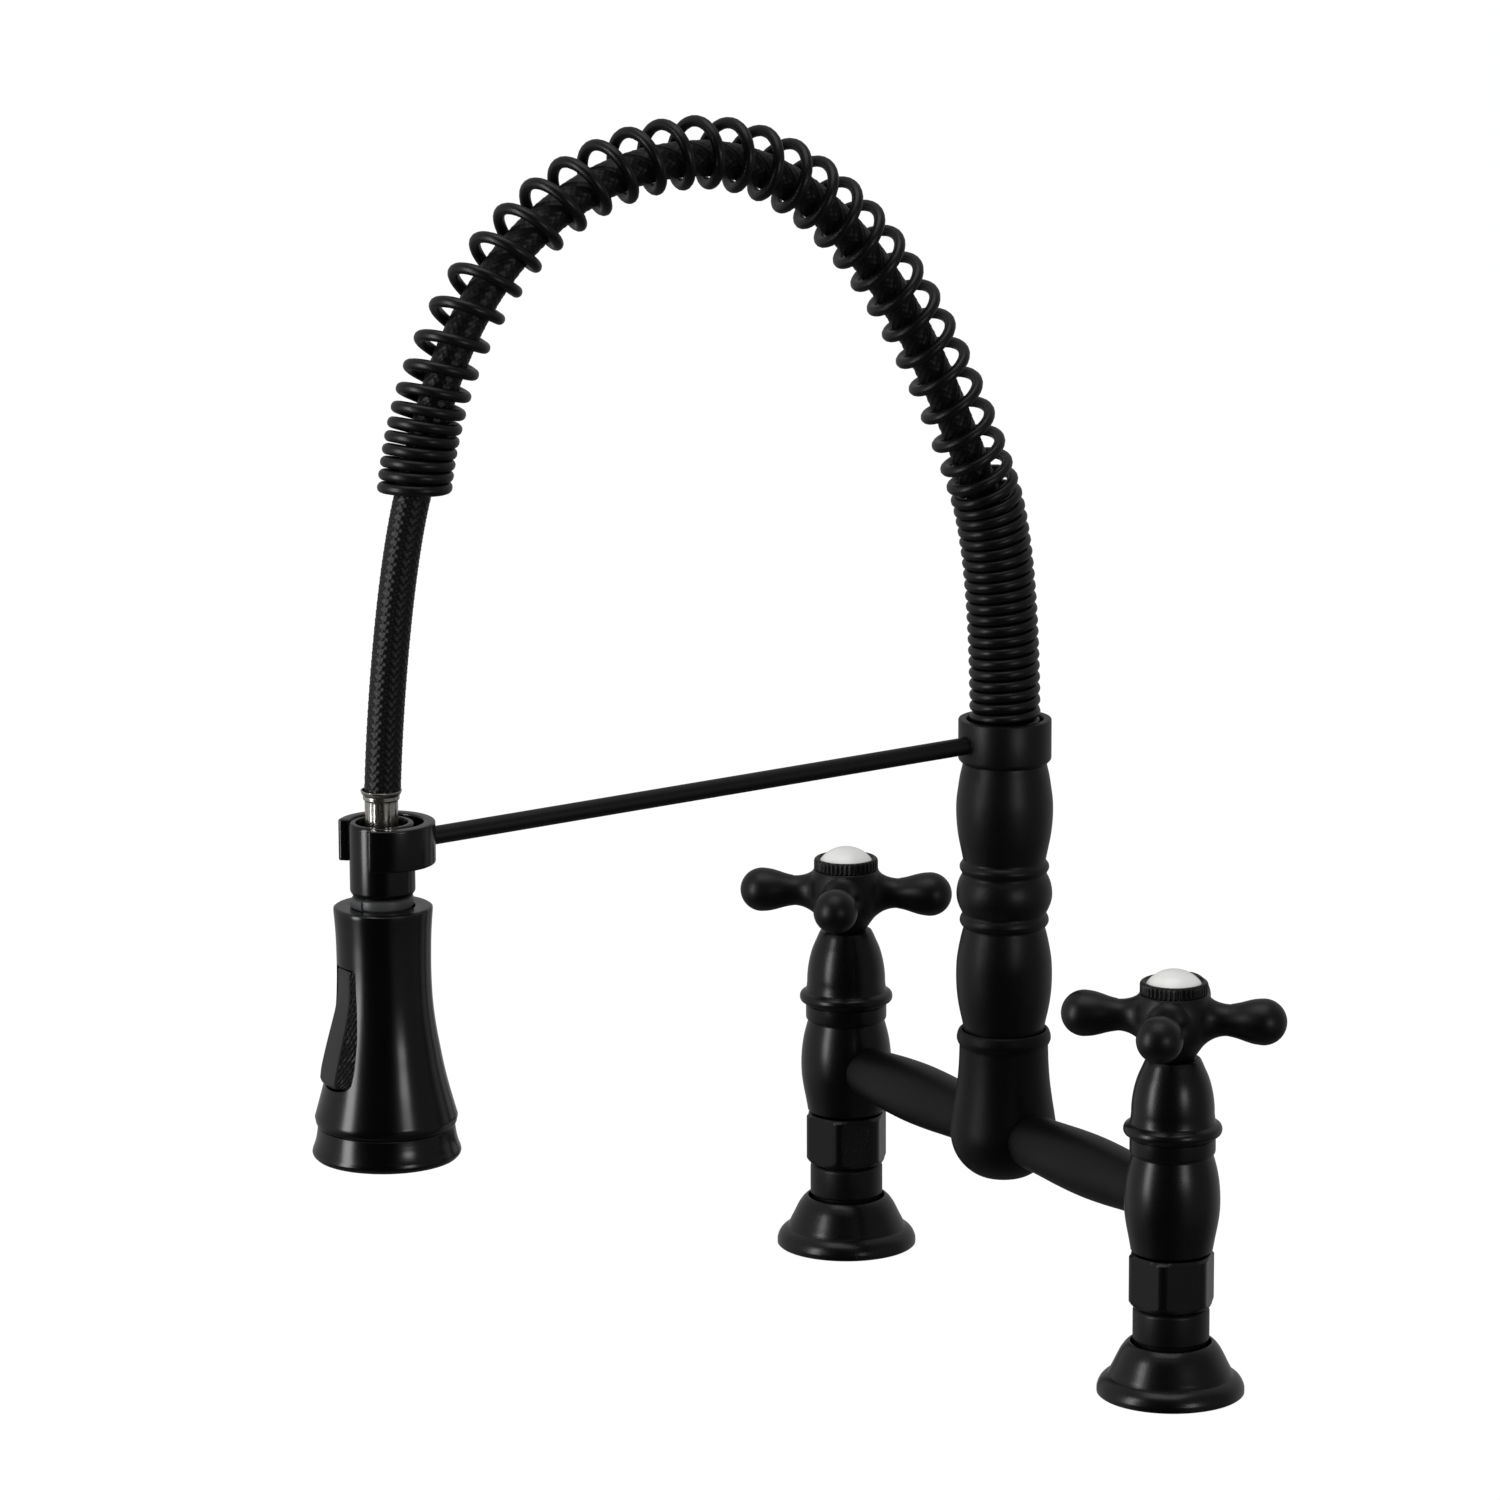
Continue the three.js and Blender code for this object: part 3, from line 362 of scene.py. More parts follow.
# finishes
# the slot of a finish, where they differ; a CAD part takes the last finish that has its slot
slots = {
    "columnCoat": "black_finish", "shadedBridgeCoat": "black_finish", "wandCoat": "black_finish",
    "blackCoat": "black_finish", "springCoat": "spring_wire", "braid": "braided_hose",
    "whiteGlaze": "white_button", "greyPlastic": "grey_plastic", "blackPlastic": "black_plastic",
}
coat = (0.0005, 0.0005, 0.0006)
looks = {
    # base colour, roughness (low, high), grains per metre, bump depth in mm
    # metal is 0 and shine, the specular level, is 0.5 where they aren't given
    "blackCoat": dict(colour=coat, rough=(0.27, 0.31), grain=2600, bump=0.0008, shine=0.45),
    "columnCoat": dict(colour=coat, rough=(0.38, 0.43), grain=2400, bump=0.001, shine=0.40),
    # painted shade: the same black coat, rougher, which is real, and with its reflection cut to shine 0.28,
    # which darkens the low arms and tee between the valves
    "shadedBridgeCoat": dict(colour=coat, rough=(0.42, 0.47), grain=2400, bump=0.001, shine=0.28),
    "wandCoat": dict(colour=(0.0004, 0.0004, 0.0005), rough=(0.20, 0.23), grain=3000, bump=0.0005),
    "springCoat": dict(colour=(0.0006, 0.0006, 0.0007), rough=(0.34, 0.39), grain=2200, bump=0.001,
                       shine=0.42),
    "nickel": dict(colour=(0.66, 0.64, 0.60), metal=1, rough=(0.16, 0.26), grain=1400, bump=0.004),
    "steel": dict(colour=(0.56, 0.57, 0.58), metal=1, rough=(0.26, 0.40), grain=1200, bump=0.006),
    "brass": dict(colour=(0.62, 0.45, 0.20), metal=1, rough=(0.26, 0.42), grain=1100, bump=0.006),
    "rubber": dict(colour=(0.014, 0.014, 0.014), rough=(0.70, 0.85), grain=1500, bump=0.02),
    "nylon": dict(colour=(0.78, 0.76, 0.70), rough=(0.42, 0.55), grain=900, bump=0.01),
    "ceramic": dict(colour=(0.87, 0.86, 0.83), rough=(0.14, 0.24), grain=1600, bump=0.003),
    "whiteGlaze": dict(colour=(0.83, 0.83, 0.81), rough=(0.10, 0.16), grain=300, bump=0.004),
    "greyPlastic": dict(colour=(0.044, 0.045, 0.047), rough=(0.32, 0.40), grain=3200, bump=0.003),
    "blackPlastic": dict(colour=(0.010, 0.010, 0.011), rough=(0.28, 0.34), grain=2600, bump=0.003),
}


# what both kinds of finish share
def surface(tree, look, tone, grain, strength, rough):
    colour = wire(tree, "VectorMath", {0: look["colour"], "Scale": tone}, operation="SCALE")
    bump = wire(tree, "Bump", {"Height": grain, "Strength": strength, "Distance": look["bump"] * mm})
    skin = wire(tree, "BsdfPrincipled", {
        "Base Color": colour, "Metallic": look.get("metal", 0), "Roughness": rough, "Normal": bump,
        "Specular IOR Level": look.get("shine", 0.5)})
    wire(tree, "OutputMaterial", {"Surface": skin})


def noise(tree, scale, detail):
    where = wire(tree, "TexCoord").outputs["Object"]
    return wire(tree, "TexNoise", {"Vector": where, "Scale": scale, "Detail": detail})


def shade(name):
    look = looks[name]
    usual = (0.3, 0.7)  # where most of a noise lies
    paint = bpy.data.materials.new(name)
    tree = graph(paint)
    grain = noise(tree, look["grain"], 3.0)
    tone = ranged(tree, noise(tree, look["grain"] / 22, 2.0), (0.88, 1.12), usual)
    surface(tree, look, tone, grain, 0.35, ranged(tree, grain, look["rough"], usual))
    return paint


braidLook = dict(colour=(0.0012, 0.0012, 0.0014), tone=(0.7, 1.5), rough=0.40, grain=2400, bump=0.05,
                 shine=0.30)


def shadeBraid():
    paint = bpy.data.materials.new("braid")
    tree = graph(paint)
    fuzz = noise(tree, braidLook["grain"], 3.0)
    surface(tree, braidLook, ranged(tree, fuzz, braidLook["tone"]), fuzz, 0.6, braidLook["rough"])
    return paint


finishes = {name: shade(name) for name in looks}
finishes["braid"] = shadeBraid()
bySlot = {slot: name for name, slot in slots.items()}
for part in frame["record"]["subparts"]:
    slot = part["material_slot"]
    paint(frame["nodes"][part["node"]], bySlot.get(slot, slot))
print("finishes ready")


# one valve, drawn about its own axis
valve = {
    "offset": 101.6,
    "turn": {"hot": 51.0, "cold": 46.6},
    "flangeR": 24.5,
    "sleeveR": 12.75,
    "shankR": 10.2,
    "boreR": 6.2,
    "shankEnd": -55.0,
    "threadPitch": 1.81,
    "nut": (30.3, 48.5),
    "nutFlat": 13.15,
    "nutFillet": 4.0,
    "nutTurn": {"hot": 46.0, "cold": 43.0},
    "bodyTop": 88.0,
    "bonnetTop": 114.6,
    "armZ": 128.3,
    "ringZ": (136.7, 140.75),
    "ringR": 11.25,
    "flutes": 40,
    "fluteDepth": 0.42,
    "buttonR": 9.1,
    "buttonTop": 144.5,
    "buttonSunk": 0.75,
    "ballAt": 29.7,
    "ballR": 7.7,
    "rootR": 5.25,  # an arm where it leaves the hub's fillet
    "rootSpread": (2.6, 1.3),  # width of the fillet, and what it gains below
    "rootLength": (4.0, 2.0),  # its length, and what it gains above and below
    "washer": 2.5,
    "deck": 30.0,
}
barrelOutline = flowing([(13.6, 49.5), (14.3, 53.5), (15.2, 58.2), (15.75, 62.4), (15.9, 66.2),
                         (15.65, 71.4), (14.9, 76.4), (13.95, 80.2), (13.5, 81.8)])


corner = pi / 6  # from the middle of a hexagon's flat to its corner


def fromFlat(a):
    return (a + corner) % (2 * corner) - corner


# a hexagon's radius at a heading: flat is half the width across flats, fillet rounds the corners
def hexRadius(flat, fillet, a):
    off = abs(fromFlat(a))
    if tan(off) * flat <= (flat - fillet) * tan(corner):
        return flat / cos(off)
    away = (flat - fillet) / cos(corner)
    turn = corner - off
    return away * cos(turn) + sqrt(fillet**2 - (away * sin(turn)) ** 2)


# turned and cut down to a hexagon, with most headings in its corners
def hexNut(name, outline, flat, fillet, turn=0, steps=3):
    edge = degrees(atan((flat - fillet) * tan(corner) / flat))
    angles = []
    for k in range(6):
        flatAt = turn + k * 60
        angles += [radians(flatAt + a) for a in (-edge, -edge + 1.2, -12, 0, 12, edge - 1.2)]
        angles += [radians(flatAt + edge + (60 - 2 * edge) * i / 7) for i in range(7)]

    def cut(r, z, a):
        return min(r, hexRadius(flat, fillet, a - radians(turn))) if r > flat * 0.95 else r
    return lathe(name, outline, angles=angles, shape=cut, steps=steps)


def flange():
    r = valve["flangeR"]
    return lathe("flange", [
        (10.7, 2.6), (16, 2.6), (17, 0.05, 0.3), (r - 0.5, 0.05, 0.3), (r, 0.5), (r, 1.6),
        *flowing([(r, 2.1), (r - 0.4, 3.4), (r - 1.3, 4.9), (r - 2.55, 6), (r - 3.65, 6.6)]),
        (r - 3.95, 7.1, 0.3), (r - 4.2, 7.6, 0.3),
        *flowing([(r - 4.4, 8.1), (r - 5.45, 10.2), (r - 6.6, 12.6), (r - 7.8, 14.9), (r - 9, 16.6)]),
        (r - 10.3, 17.9, 0.8), (13.45, 17.9, 0.5), (13.4, 16.9), (13.4, 4.6), (10.7, 4.6),
    ], around=96)


def shank():
    r, low, bore, sleeve = (valve[k] for k in ("shankR", "shankEnd", "boreR", "sleeveR"))
    lead, step = 1.6, 0.2
    rows = [low + lead + step * i for i in range(int((-2 - low - lead) / step))]
    first, last, fade, depth = low + 1, -3, 2.5, 0.95

    def threaded(r, z, a):
        inside = min(max((z - first) / fade, 0), max((last - z) / fade, 0), 1)
        wave = abs(((z / valve["threadPitch"] - a / tau) % 1) * 2 - 1)
        return r - depth * inside * wave
    return lathe("shank", [
        (bore, low, 0.4), (r - 1.1, low), (r - 0.2, low + 1.2),
        *[(r, z) for z in rows], (r, 4.6), (11.9, 4.6), (11.9, 18.8, 0.2),
        (sleeve, 19.1, 0.2), (sleeve, 28.9, 0.5), (sleeve - 0.8, 29.7),
        (10.75, 29.75), (10.75, 41.2), (bore, 41.2),
    ], around=48, shape=threaded)


def deckWasher():
    top = -valve["deck"]
    low = top - valve["washer"]
    return lathe("deckWasher", [
        (11, low, 0.3), (19.5, low, 0.5), (19.5, top, 0.5), (11, top, 0.3),
    ], around=64)


def locknut():
    top = -valve["deck"] - valve["washer"]
    return hexNut("locknut", [
        (10.4, top - 9, 0.5), (15.2, top - 9, 0.2), (17.3, top - 7.9), (17.3, top - 0.9),
        (15.6, top), (10.4, top, 0.5),
    ], flat=15.1, fillet=1.5)


def unionNut(turn):
    (low, high), flat, fillet = valve["nut"], valve["nutFlat"], valve["nutFillet"]
    r = hexRadius(flat, fillet, corner) + 0.02
    return hexNut("unionNut", [
        (11, low, 0.2), (12.9, low, 0.3), (13.7, low + 0.8, 0.4), (r, low + 2.2, 0.6),
        (r, high - 1.3, 0.4), (13.2, high - 0.2, 0.2), (12.4, high),
        (10.2, high), (10.2, 44.7), (11, 44.5),
    ], flat, fillet, turn, steps=4)


def valveBody():
    top = valve["bodyTop"]
    return lathe("valveBody", [
        (12.4, 49.1, 0.2), (13.3, 49.2, 0.3), *barrelOutline,
        (13.55, 82.3), (14.05, 82.7, 0.4), (14.2, 83.4), (14.2, top - 0.25), (14, top),
        (11.3, top), (11.3, 56.5), (6.3, 56.5), (6.3, 42.8), (10.3, 42.8), (10.3, 44.2), (8, 44.2), (8, 49.1),
    ], around=80)


def bonnet():
    low, top = valve["bodyTop"], valve["bonnetTop"]
    return lathe("bonnet", [
        (12.9, low + 0.1), (14.2, low + 0.1, 0.2), (14.4, low + 0.5),
        *flowing([(15, low + 0.75), (15.95, low + 1.35), (16.35, low + 2.65), (15.95, low + 3.95),
                  (15.1, low + 4.6), (14.4, low + 5)], 4),
        *flowing([(14.05, low + 5.6), (13.8, low + 7.6), (13.7, low + 10.4), (13.25, low + 14.3),
                  (12.55, low + 17.6), (11.6, low + 20.6), (10.55, low + 23), (9.6, low + 25.2)]),
        (8.9, top, 0.5), (4.8, top), (4.8, 104), (9.8, 104), (9.8, 91), (12.9, 91),
    ], around=80)


hubOutline = flowing([(7.7, 116), (9.2, 118.2), (11.2, 121), (12.5, 124.2), (13.2, 127.3),
                      (13.25, 130), (12.8, 132.8), (12.1, 134.8), (11.6, 135.9)])
armOutline = flowing([(5.3, 12), (5.2, 15.6), (5.35, 18.5), (5.95, 21.5), (6.85, 24.5),
                      (7.45, 27), (7.7, valve["ballAt"])])


def armRadius(x):
    at, r = valve["ballAt"], valve["ballR"]
    return sqrt(max(r**2 - (x - at) ** 2, 0)) if x >= at else radiusOf(armOutline, x)


# how far out an upright turned piece is at height z, that far aside
def meeting(outline, z, aside, gap=0.0, least=0.01):
    r = radiusOf(outline, z) + gap
    return sqrt(max(r * r - aside**2, least))


# an arm along +X at height z; column(cy, cz) gives its (x, radius) points at one heading about it
def armAt(name, z, around, column):
    columns = []
    for i in range(around):
        cy, cz = cos(tau * i / around), sin(tau * i / around)
        columns.append([(x, rho * cy, z + rho * cz) for x, rho in column(cy, cz)])
    return loft(name, list(zip(*columns)))


# the headings of a quarter turn, in equal steps
def quarter(steps):
    return [radians(90 * k / steps) for k in range(steps + 1)]


# its root spreads in a fillet onto the hub
def handleArm():
    z0, root, ball = valve["armZ"], valve["rootR"], valve["ballAt"]
    fillet, neck, neckX = 9, 5, 22.5

    def column(cy, cz):
        def onHub(rho):
            return meeting(hubOutline, z0 + rho * cz, rho * cy, least=1)
        spread = valve["rootSpread"][0] + valve["rootSpread"][1] * max(-cz, 0)
        length = valve["rootLength"][0] + valve["rootLength"][1] * abs(cz)
        foot = root + spread
        made = [(4.5, 0.8), (4.5, foot - 0.4), (onHub(foot) - 1, foot + 0.05), (onHub(foot) - 0.03, foot)]
        for t in quarter(fillet)[1:]:
            rho = root + spread * (1 - sin(t))
            made.append((onHub(rho) + length * (1 - cos(t)), rho))
        start = made[-1][0]
        xs = [start + (neckX - start) * k / neck for k in range(1, neck + 1)] + [23.7, 25, 26.5, 28, ball]
        xs += [ball + valve["ballR"] * sin(radians(a)) for a in range(8, 90, 8)]
        return made + [(x, armRadius(x)) for x in xs]
    return armAt("handleArm", z0, 44, column)


def crossHandle(turn):
    top = valve["ringZ"][0] - 0.1
    hub = lathe("crossHandle", [
        (3.95, 114.85), (7, 114.85, 0.3), *hubOutline, (11.4, top - 0.15), (11.1, top), (7.3, top),
        (7.3, 131.6), (3.95, 131.6),
    ], around=96)
    for k in range(4):
        hub = combined(hub, move(handleArm(), turn=turn + 90 * k))
    return hub


def indexRing():
    low, high = valve["ringZ"]
    r, hole, inside = valve["ringR"], valve["buttonR"], 10.9

    def fluted(r, z, a):
        if r < inside or not low + 0.2 < z < high - 0.4:
            return r
        return r - valve["fluteDepth"] * (0.5 + 0.5 * cos(valve["flutes"] * a)) ** 2
    return lathe("indexRing", [
        (6.9, low), (r - 0.3, low, 0.2), (r, low + 0.3), (r, low + 0.9), (r, low + 1.6), (r, high - 1.5),
        (r, high - 1), (r - 0.2, high - 0.5), (r - 0.7, high - 0.1, 0.2), (hole + 0.9, high, 0.2),
        (hole + 0.2, high - 0.75), (hole + 0.2, 138), (6.9, 138),
    ], around=valve["flutes"] * 6, shape=fluted)


# a shallow dome, its edge sunk a little in the ring
def indexButton():
    r, top, edge = valve["buttonR"], valve["buttonTop"], valve["ringZ"][1] - valve["buttonSunk"]
    rise = top - edge
    ball = (r * r + rise * rise) / (2 * rise)
    reachAngle = asin(r / ball)
    turns = [reachAngle * (1 - k / 12) for k in range(12)]
    dome = [(ball * sin(a), top - ball + ball * cos(a)) for a in turns] + [(0, top)]
    return lathe("indexButton", [(0, 138.2), (r, 138.2), (r, edge - 0.4), *dome], around=72)


def buildValve(side):
    x = -valve["offset"] if side == "hot" else valve["offset"]
    handle = f"{side}_handle"
    parts = [
        (flange(), "blackCoat", "base", "flange", 30),
        (shank(), "columnCoat", "base", "shank", 30),
        (deckWasher(), "steel", "base", "deck_washer", 30),
        (locknut(), "brass", "base", "locknut", 24),
        (unionNut(valve["nutTurn"][side]), "blackCoat", "base", "union_nut", 24),
        (valveBody(), "blackCoat", "base", "valve_body", 30),
        (bonnet(), "blackCoat", "base", "bonnet", 30),
        (crossHandle(valve["turn"][side]), "columnCoat", handle, "cross_handle", 62),
        (indexRing(), "columnCoat", handle, "index_ring", 40),
        (indexButton(), "whiteGlaze", handle, "index_button", 30),
    ]
    for piece, finish, body, node, edge in parts:
        piece.name = f"{side}-{piece.name.split('.')[0]}"
        dress(move(piece, (x, 0, 0)), finish, body, f"{side}_{node}", edge=edge)


for side in ("hot", "cold"):
    buildValve(side)
print("valves ready")


# bridge: two swelling arms saddled onto the barrels and the tee
bridge = {
    "z": 65.9,
    "mouthR": 14.15,
    "teeTop": 101.8,
    "gap": 0.1,
    "easing": 1.5,  # rounding where an arm ends on a barrel or on the tee
    "screwZ": 84.9,
    "screwR": 1.95,
}
teeOutline = flowing([(4.6, 49.35), (8.9, 50.6), (12.4, 52.9), (15.2, 56), (17, 59.4),
                      (17.95, 63.2), (18.1, 66.6), (17.6, 70.6), (16.7, 76.4), (15.8, 83.2),
                      (15.3, 89.6), (15.1, 95.4)])
girthOutline = flowing([(9.15, 13), (9.7, 28), (10.4, 42), (10.63, 54), (10.2, 67), (9.3, 80), (8.95, 90)])


def bridgeArm(side):
    z0, off = bridge["z"], valve["offset"]
    ease, gap = bridge["easing"], bridge["gap"]
    g0, g1 = radiusOf(girthOutline, 14), radiusOf(girthOutline, off - 14)  # its girth at the two ends
    spans, corners, shares = 24, 5, (0.03, 0.35, 0.65)

    def column(cy, cz):
        def fromTee(rho):
            return meeting(teeOutline, z0 + rho * cz, rho * cy, gap)

        def fromBarrel(rho):
            return off - meeting(barrelOutline, z0 + rho * cz, rho * cy, gap)
        made = [(fromTee(g0 * t), g0 * t) for t in shares]
        for t in quarter(corners):
            rho = g0 - ease + ease * sin(t)
            made.append((fromTee(rho) + ease * (1 - cos(t)), rho))
        first, last = made[-1][0], fromBarrel(g1) - ease
        xs = [first + (last - first) * k / spans for k in range(1, spans)]
        made += [(x, radiusOf(girthOutline, x)) for x in xs]
        for t in reversed(quarter(corners)):
            rho = g1 - ease + ease * sin(t)
            made.append((fromBarrel(rho) - ease * (1 - cos(t)), rho))
        return made + [(fromBarrel(g1 * t), g1 * t) for t in reversed(shares)]
    made = armAt(f"bridgeArm-{side}", z0, 72, column)
    return move(made, turn=180) if side == "hot" else made


def teeBody():
    top, mouth = bridge["teeTop"], bridge["mouthR"]
    return lathe("teeBody", [
        (0, 48.95), (2, 49.05), *teeOutline,
        (15.1, 96.1), (15.35, 96.6, 0.3),
        *flowing([(15.6, 97.1), (16, 98.2), (15.95, 99.6), (15.6, 100.8)], 4),
        (15.2, top - 0.2, 0.4), (14.6, top, 0.3), (mouth, top - 0.5), (mouth, 97.4),
        (11.2, 97.4), (11.2, 72.4), (9, 72.4), (9, 57), (0, 57),
    ], around=96)


# it enters the tee from behind, with a hexagonal key hole
def retainingScrew():
    r, key = bridge["screwR"], 1.2

    def keyHole(r, z, a):
        return r if r > key else r * cos(corner) / cos(fromFlat(a))
    screw = lathe("retainingScrew", [
        (0, 9.7), (1.3, 9.7), (1.4, 10), (1.4, 11.4), (r, 11.8), (r, 14.8, 0.2), (1.15, 15.1, 0.1),
        (1.1, 13.2), (0, 13.2),
    ], around=36, shape=keyHole)
    return move(tilt(screw, -90), (0, 0, bridge["screwZ"]))


# the arms and tee take the shaded bridge coat, painted shade: a dimmer reflection where they sit low between
# the valves
for side in ("hot", "cold"):
    dress(bridgeArm(side), "shadedBridgeCoat", "base", f"bridge_arm_{side}")
dress(teeBody(), "shadedBridgeCoat", "base", "tee_body")
dress(retainingScrew(), "steel", "base", "retaining_screw")
print("bridge ready")


# column, collar and dock
spout = {
    "reach": 238.1,
    "columnTop": 194.6,
    "collarR": 15.75,
    "collarTop": 209.8,
    "seat": 203.6,
    "rodR": 3.0,
    "rodZ": 202.3,
    "rodDrop": 1.43,
    "clipBack": 1.6,
    "clipR": 15.8,
    "clipBore": 12.0,
    "clipZ": (190.2, 203.8),
    "clipSlot": 9.9,
    "clipEnd": 0.9,  # rounding of its two ends
    "rodIn": 2.2,  # how far the rod enters the clip
}


def column():
    top = spout["columnTop"]
    return lathe("column", [
        (7, 73.5), (10.9, 73.5), (10.9, 99), (13.6, 99.1), (13.7, 101),
        *flowing([(13.8, 102.2), (14.15, 104.2), (15, 108), (15.75, 112.2), (16.2, 116.8),
                  (16.3, 121.4), (16.1, 126), (15.35, 130.8), (14.45, 135), (13.9, 137)]),
        (13.85, 137.7, 0.2), (14.2, 138, 0.2),
        *flowing([(14.55, 138.3), (15.05, 139.2), (15.1, 140.3), (14.7, 141.4)], 4),
        (14.35, 141.9, 0.2), (14.3, 142.6, 0.2),
        *flowing([(14.6, 143.2), (15.4, 144.9), (16.1, 147.2), (16.25, 149.3), (16, 151.6),
                  (15.35, 153.9), (14.6, 155.4)]),
        (14.35, 156, 0.2), (14.4, 156.7, 0.2),
        *flowing([(14.7, 157.1), (15.15, 158), (15.15, 158.9), (14.6, 159.9)], 4),
        (14.2, 160.3, 0.2), (14.05, 160.9, 0.2),
        *flowing([(14.2, 161.8), (14.85, 165), (15.7, 169.4), (16.2, 173.6), (16.4, 177.6),
                  (16.3, 181.6), (15.75, 186), (15.05, 190.4), (14.3, 193.6)]),
        (14.2, top, 0.2), (10.4, top), (10.4, 201.7), (7, 201.7),
    ], around=96)


def springCollar():
    r, low, top, seat = spout["collarR"], spout["columnTop"] + 0.05, spout["collarTop"], spout["seat"]
    return lathe("springCollar", [
        (10.6, low), (r - 1.2, low, 0.3), (r, low + 1.3, 0.35), (r, top - 0.5), (r - 0.2, top - 0.15),
        (r - 0.6, top, 0.2), (13.2, top, 0.3), (12.9, top - 0.8), (12.9, seat), (10.6, seat),
    ], around=96)


# lays what is turned about Z along the rod, which drops a little
def alongRod(piece):
    return move(tilt(tilt(piece, 90), spout["rodDrop"]), (0, 0, spout["rodZ"]))


def dockRod():
    r = spout["rodR"]
    far = spout["reach"] - spout["clipBack"] - spout["clipR"] + spout["rodIn"]
    return alongRod(lathe("dockRod", [
        (0, 12.95), (r - 0.4, 12.95), (r, 13.4), (r, 14.6), (r, 15.4), (r, 15.9), (r, 60), (r, 120),
        (r, 180), (r, far - 4), (r, far - 0.4), (r - 0.4, far), (0, far),
    ], around=40))


# a small washer-like rim where the rod enters the collar
def collarRim():
    r, at = spout["rodR"], spout["collarR"]
    return alongRod(lathe("collarRim", [
        (r + 0.05, at - 0.6), (r + 0.75, at - 0.6), (r + 0.75, at + 0.1, 0.25), (r + 0.05, at + 0.1, 0.15),
    ], around=36))


# open towards the front; each step is an angle and the share of the section left
def dockClip():
    low, high = spout["clipZ"]
    inner, outer = spout["clipBore"], spout["clipR"]
    edge, turns = 0.7, 72
    section = eased([(inner, low, edge), (outer, low, edge), (outer, high, edge), (inner, high, edge)],
                    steps=4)
    midR, midZ = (inner + outer) / 2, (low + high) / 2
    slot = asin(spout["clipSlot"] / outer)
    start, stop = -pi / 2 + slot, 1.5 * pi - slot
    bevel = spout["clipEnd"] / outer
    ends = [(bevel * (1 - cos(t)), 0.25 + 0.75 * sin(t)) for t in quarter(6)]
    steps = [(start + d, k) for d, k in ends]
    steps += [(start + bevel + (stop - start - 2 * bevel) * i / turns, 1.0) for i in range(1, turns)]
    steps += [(stop - d, k) for d, k in reversed(ends)]
    rows = []
    for angle, keep in steps:
        row = []
        for r, z in section:
            rowR = midR + (r - midR) * keep
            rowZ = midZ + (z - midZ) * (1 - (1 - keep) * 0.1)
            row.append((rowR * cos(angle), rowR * sin(angle), rowZ))
        rows.append(row)
    return move(loft("dockClip", rows), (0, spout["clipBack"] - spout["reach"], 0))


dress(column(), "columnCoat", "spout", "column")
dress(springCollar(), "columnCoat", "spout", "spring_collar")
dress(dockRod(), "columnCoat", "spout", "dock_rod")
dress(dockClip(), "wandCoat", "spout", "dock_clip")
dress(collarRim(), "columnCoat", "spout")
print("column and dock ready")


# spring arch and hose
arch = {
    "baseZ": 205.0,
    "height": 205.5,
    "knee": (0.03625, 0.41),  # shares of the reach and of the height
    "top": (0.5177, 1),
    "end": (0.9434, 0.5005),
    "lean": 0.35,  # slopes from upright at knee and end, radians
    "drop": 0.1,
    "pull": (21.1, 68, 54.1, 58.9, 54.1),
    "coilR": 10.15,
    "wireR": 1.9,
    "tightPitch": 3.87,
    "openPitch": 11.33,
    "tightStart": 75.1,
    "rampUp": 37.9,
    "rampDown": 46.8,
    "tightEnd": 14.6,
    "firstTip": 11.5,
    "tips": (0.15, 0.2),  # first tip above its seat, last beyond the arch
    "perTurn": 30,
    "hoseR": 5.95,
    "hug": 1.9,  # how far the hose lies inside the arch's line
    "hugFrom": (35, 90),  # where that starts, and over what length
    "outerShift": 0.65,
    "swing": 29,
    "strands": 14,
    "braidDepth": 0.34,
}


def bezier(a, b, c, d, count=600):
    t = np.linspace(0, 1, count)[:, None]
    a, b, c, d = (np.array(q, float) for q in (a, b, c, d))
    return a * (1 - t) ** 3 + 3 * b * t * (1 - t) ** 2 + 3 * c * t**2 * (1 - t) + d * t**3


# the arch in its plane, as (y, z) points
def archLine():
    reach, base, height = spout["reach"], arch["baseZ"], arch["height"]

    def spot(y, z):
        return np.array([-y * reach, base + z * height])
    knee, top, end = (spot(*arch[k]) for k in ("knee", "top", "end"))
    leaning = np.array([-sin(arch["lean"]), cos(arch["lean"])])
    dropping = np.array([sin(arch["drop"]), cos(arch["drop"])])
    level = np.array([1.0, 0.0])
    pull = arch["pull"]
    runs = [
        bezier(spot(0, 0), spot(0, 0.1224), knee - pull[0] * leaning, knee),
        bezier(knee, knee + pull[1] * leaning, top + pull[2] * level, top),
        bezier(top, top - pull[3] * level, end + pull[4] * dropping, end),
    ]
    return np.vstack([runs[0], runs[1][1:], runs[2][1:]]), end


# how far along a line each of its points is
def lengths(line):
    return np.concatenate([[0], np.cumsum(np.linalg.norm(np.diff(line, axis=0), axis=1))])


def pointAt(s, run, line):
    return [float(np.interp(s, run, line[:, k])) for k in range(line.shape[1])]


archPoints, archEnd = archLine()
archRun = lengths(archPoints)
archLength = archRun[-1]


# the place that far along the arch, and the way out of the bend there
def onArch(s):
    near = 0.5
    s = min(max(s, 0), archLength)
    ahead = pointAt(min(s + near, archLength), archRun, archPoints)
    behind = pointAt(max(s - near, 0), archRun, archPoints)
    alongY, alongZ = ahead[0] - behind[0], ahead[1] - behind[1]
    size = hypot(alongY, alongZ)
    return Vector((0, *pointAt(s, archRun, archPoints))), Vector((0, alongZ / size, -alongY / size))


def smooth(t):
    t = min(max(t, 0), 1)
    return t * t * (3 - 2 * t)


def pitchAt(s):
    opening = smooth((s - arch["tightStart"]) / arch["rampUp"])
    closing = smooth((archLength - arch["tightEnd"] - s) / arch["rampDown"])
    return arch["tightPitch"] + (arch["openPitch"] - arch["tightPitch"]) * min(opening, closing)


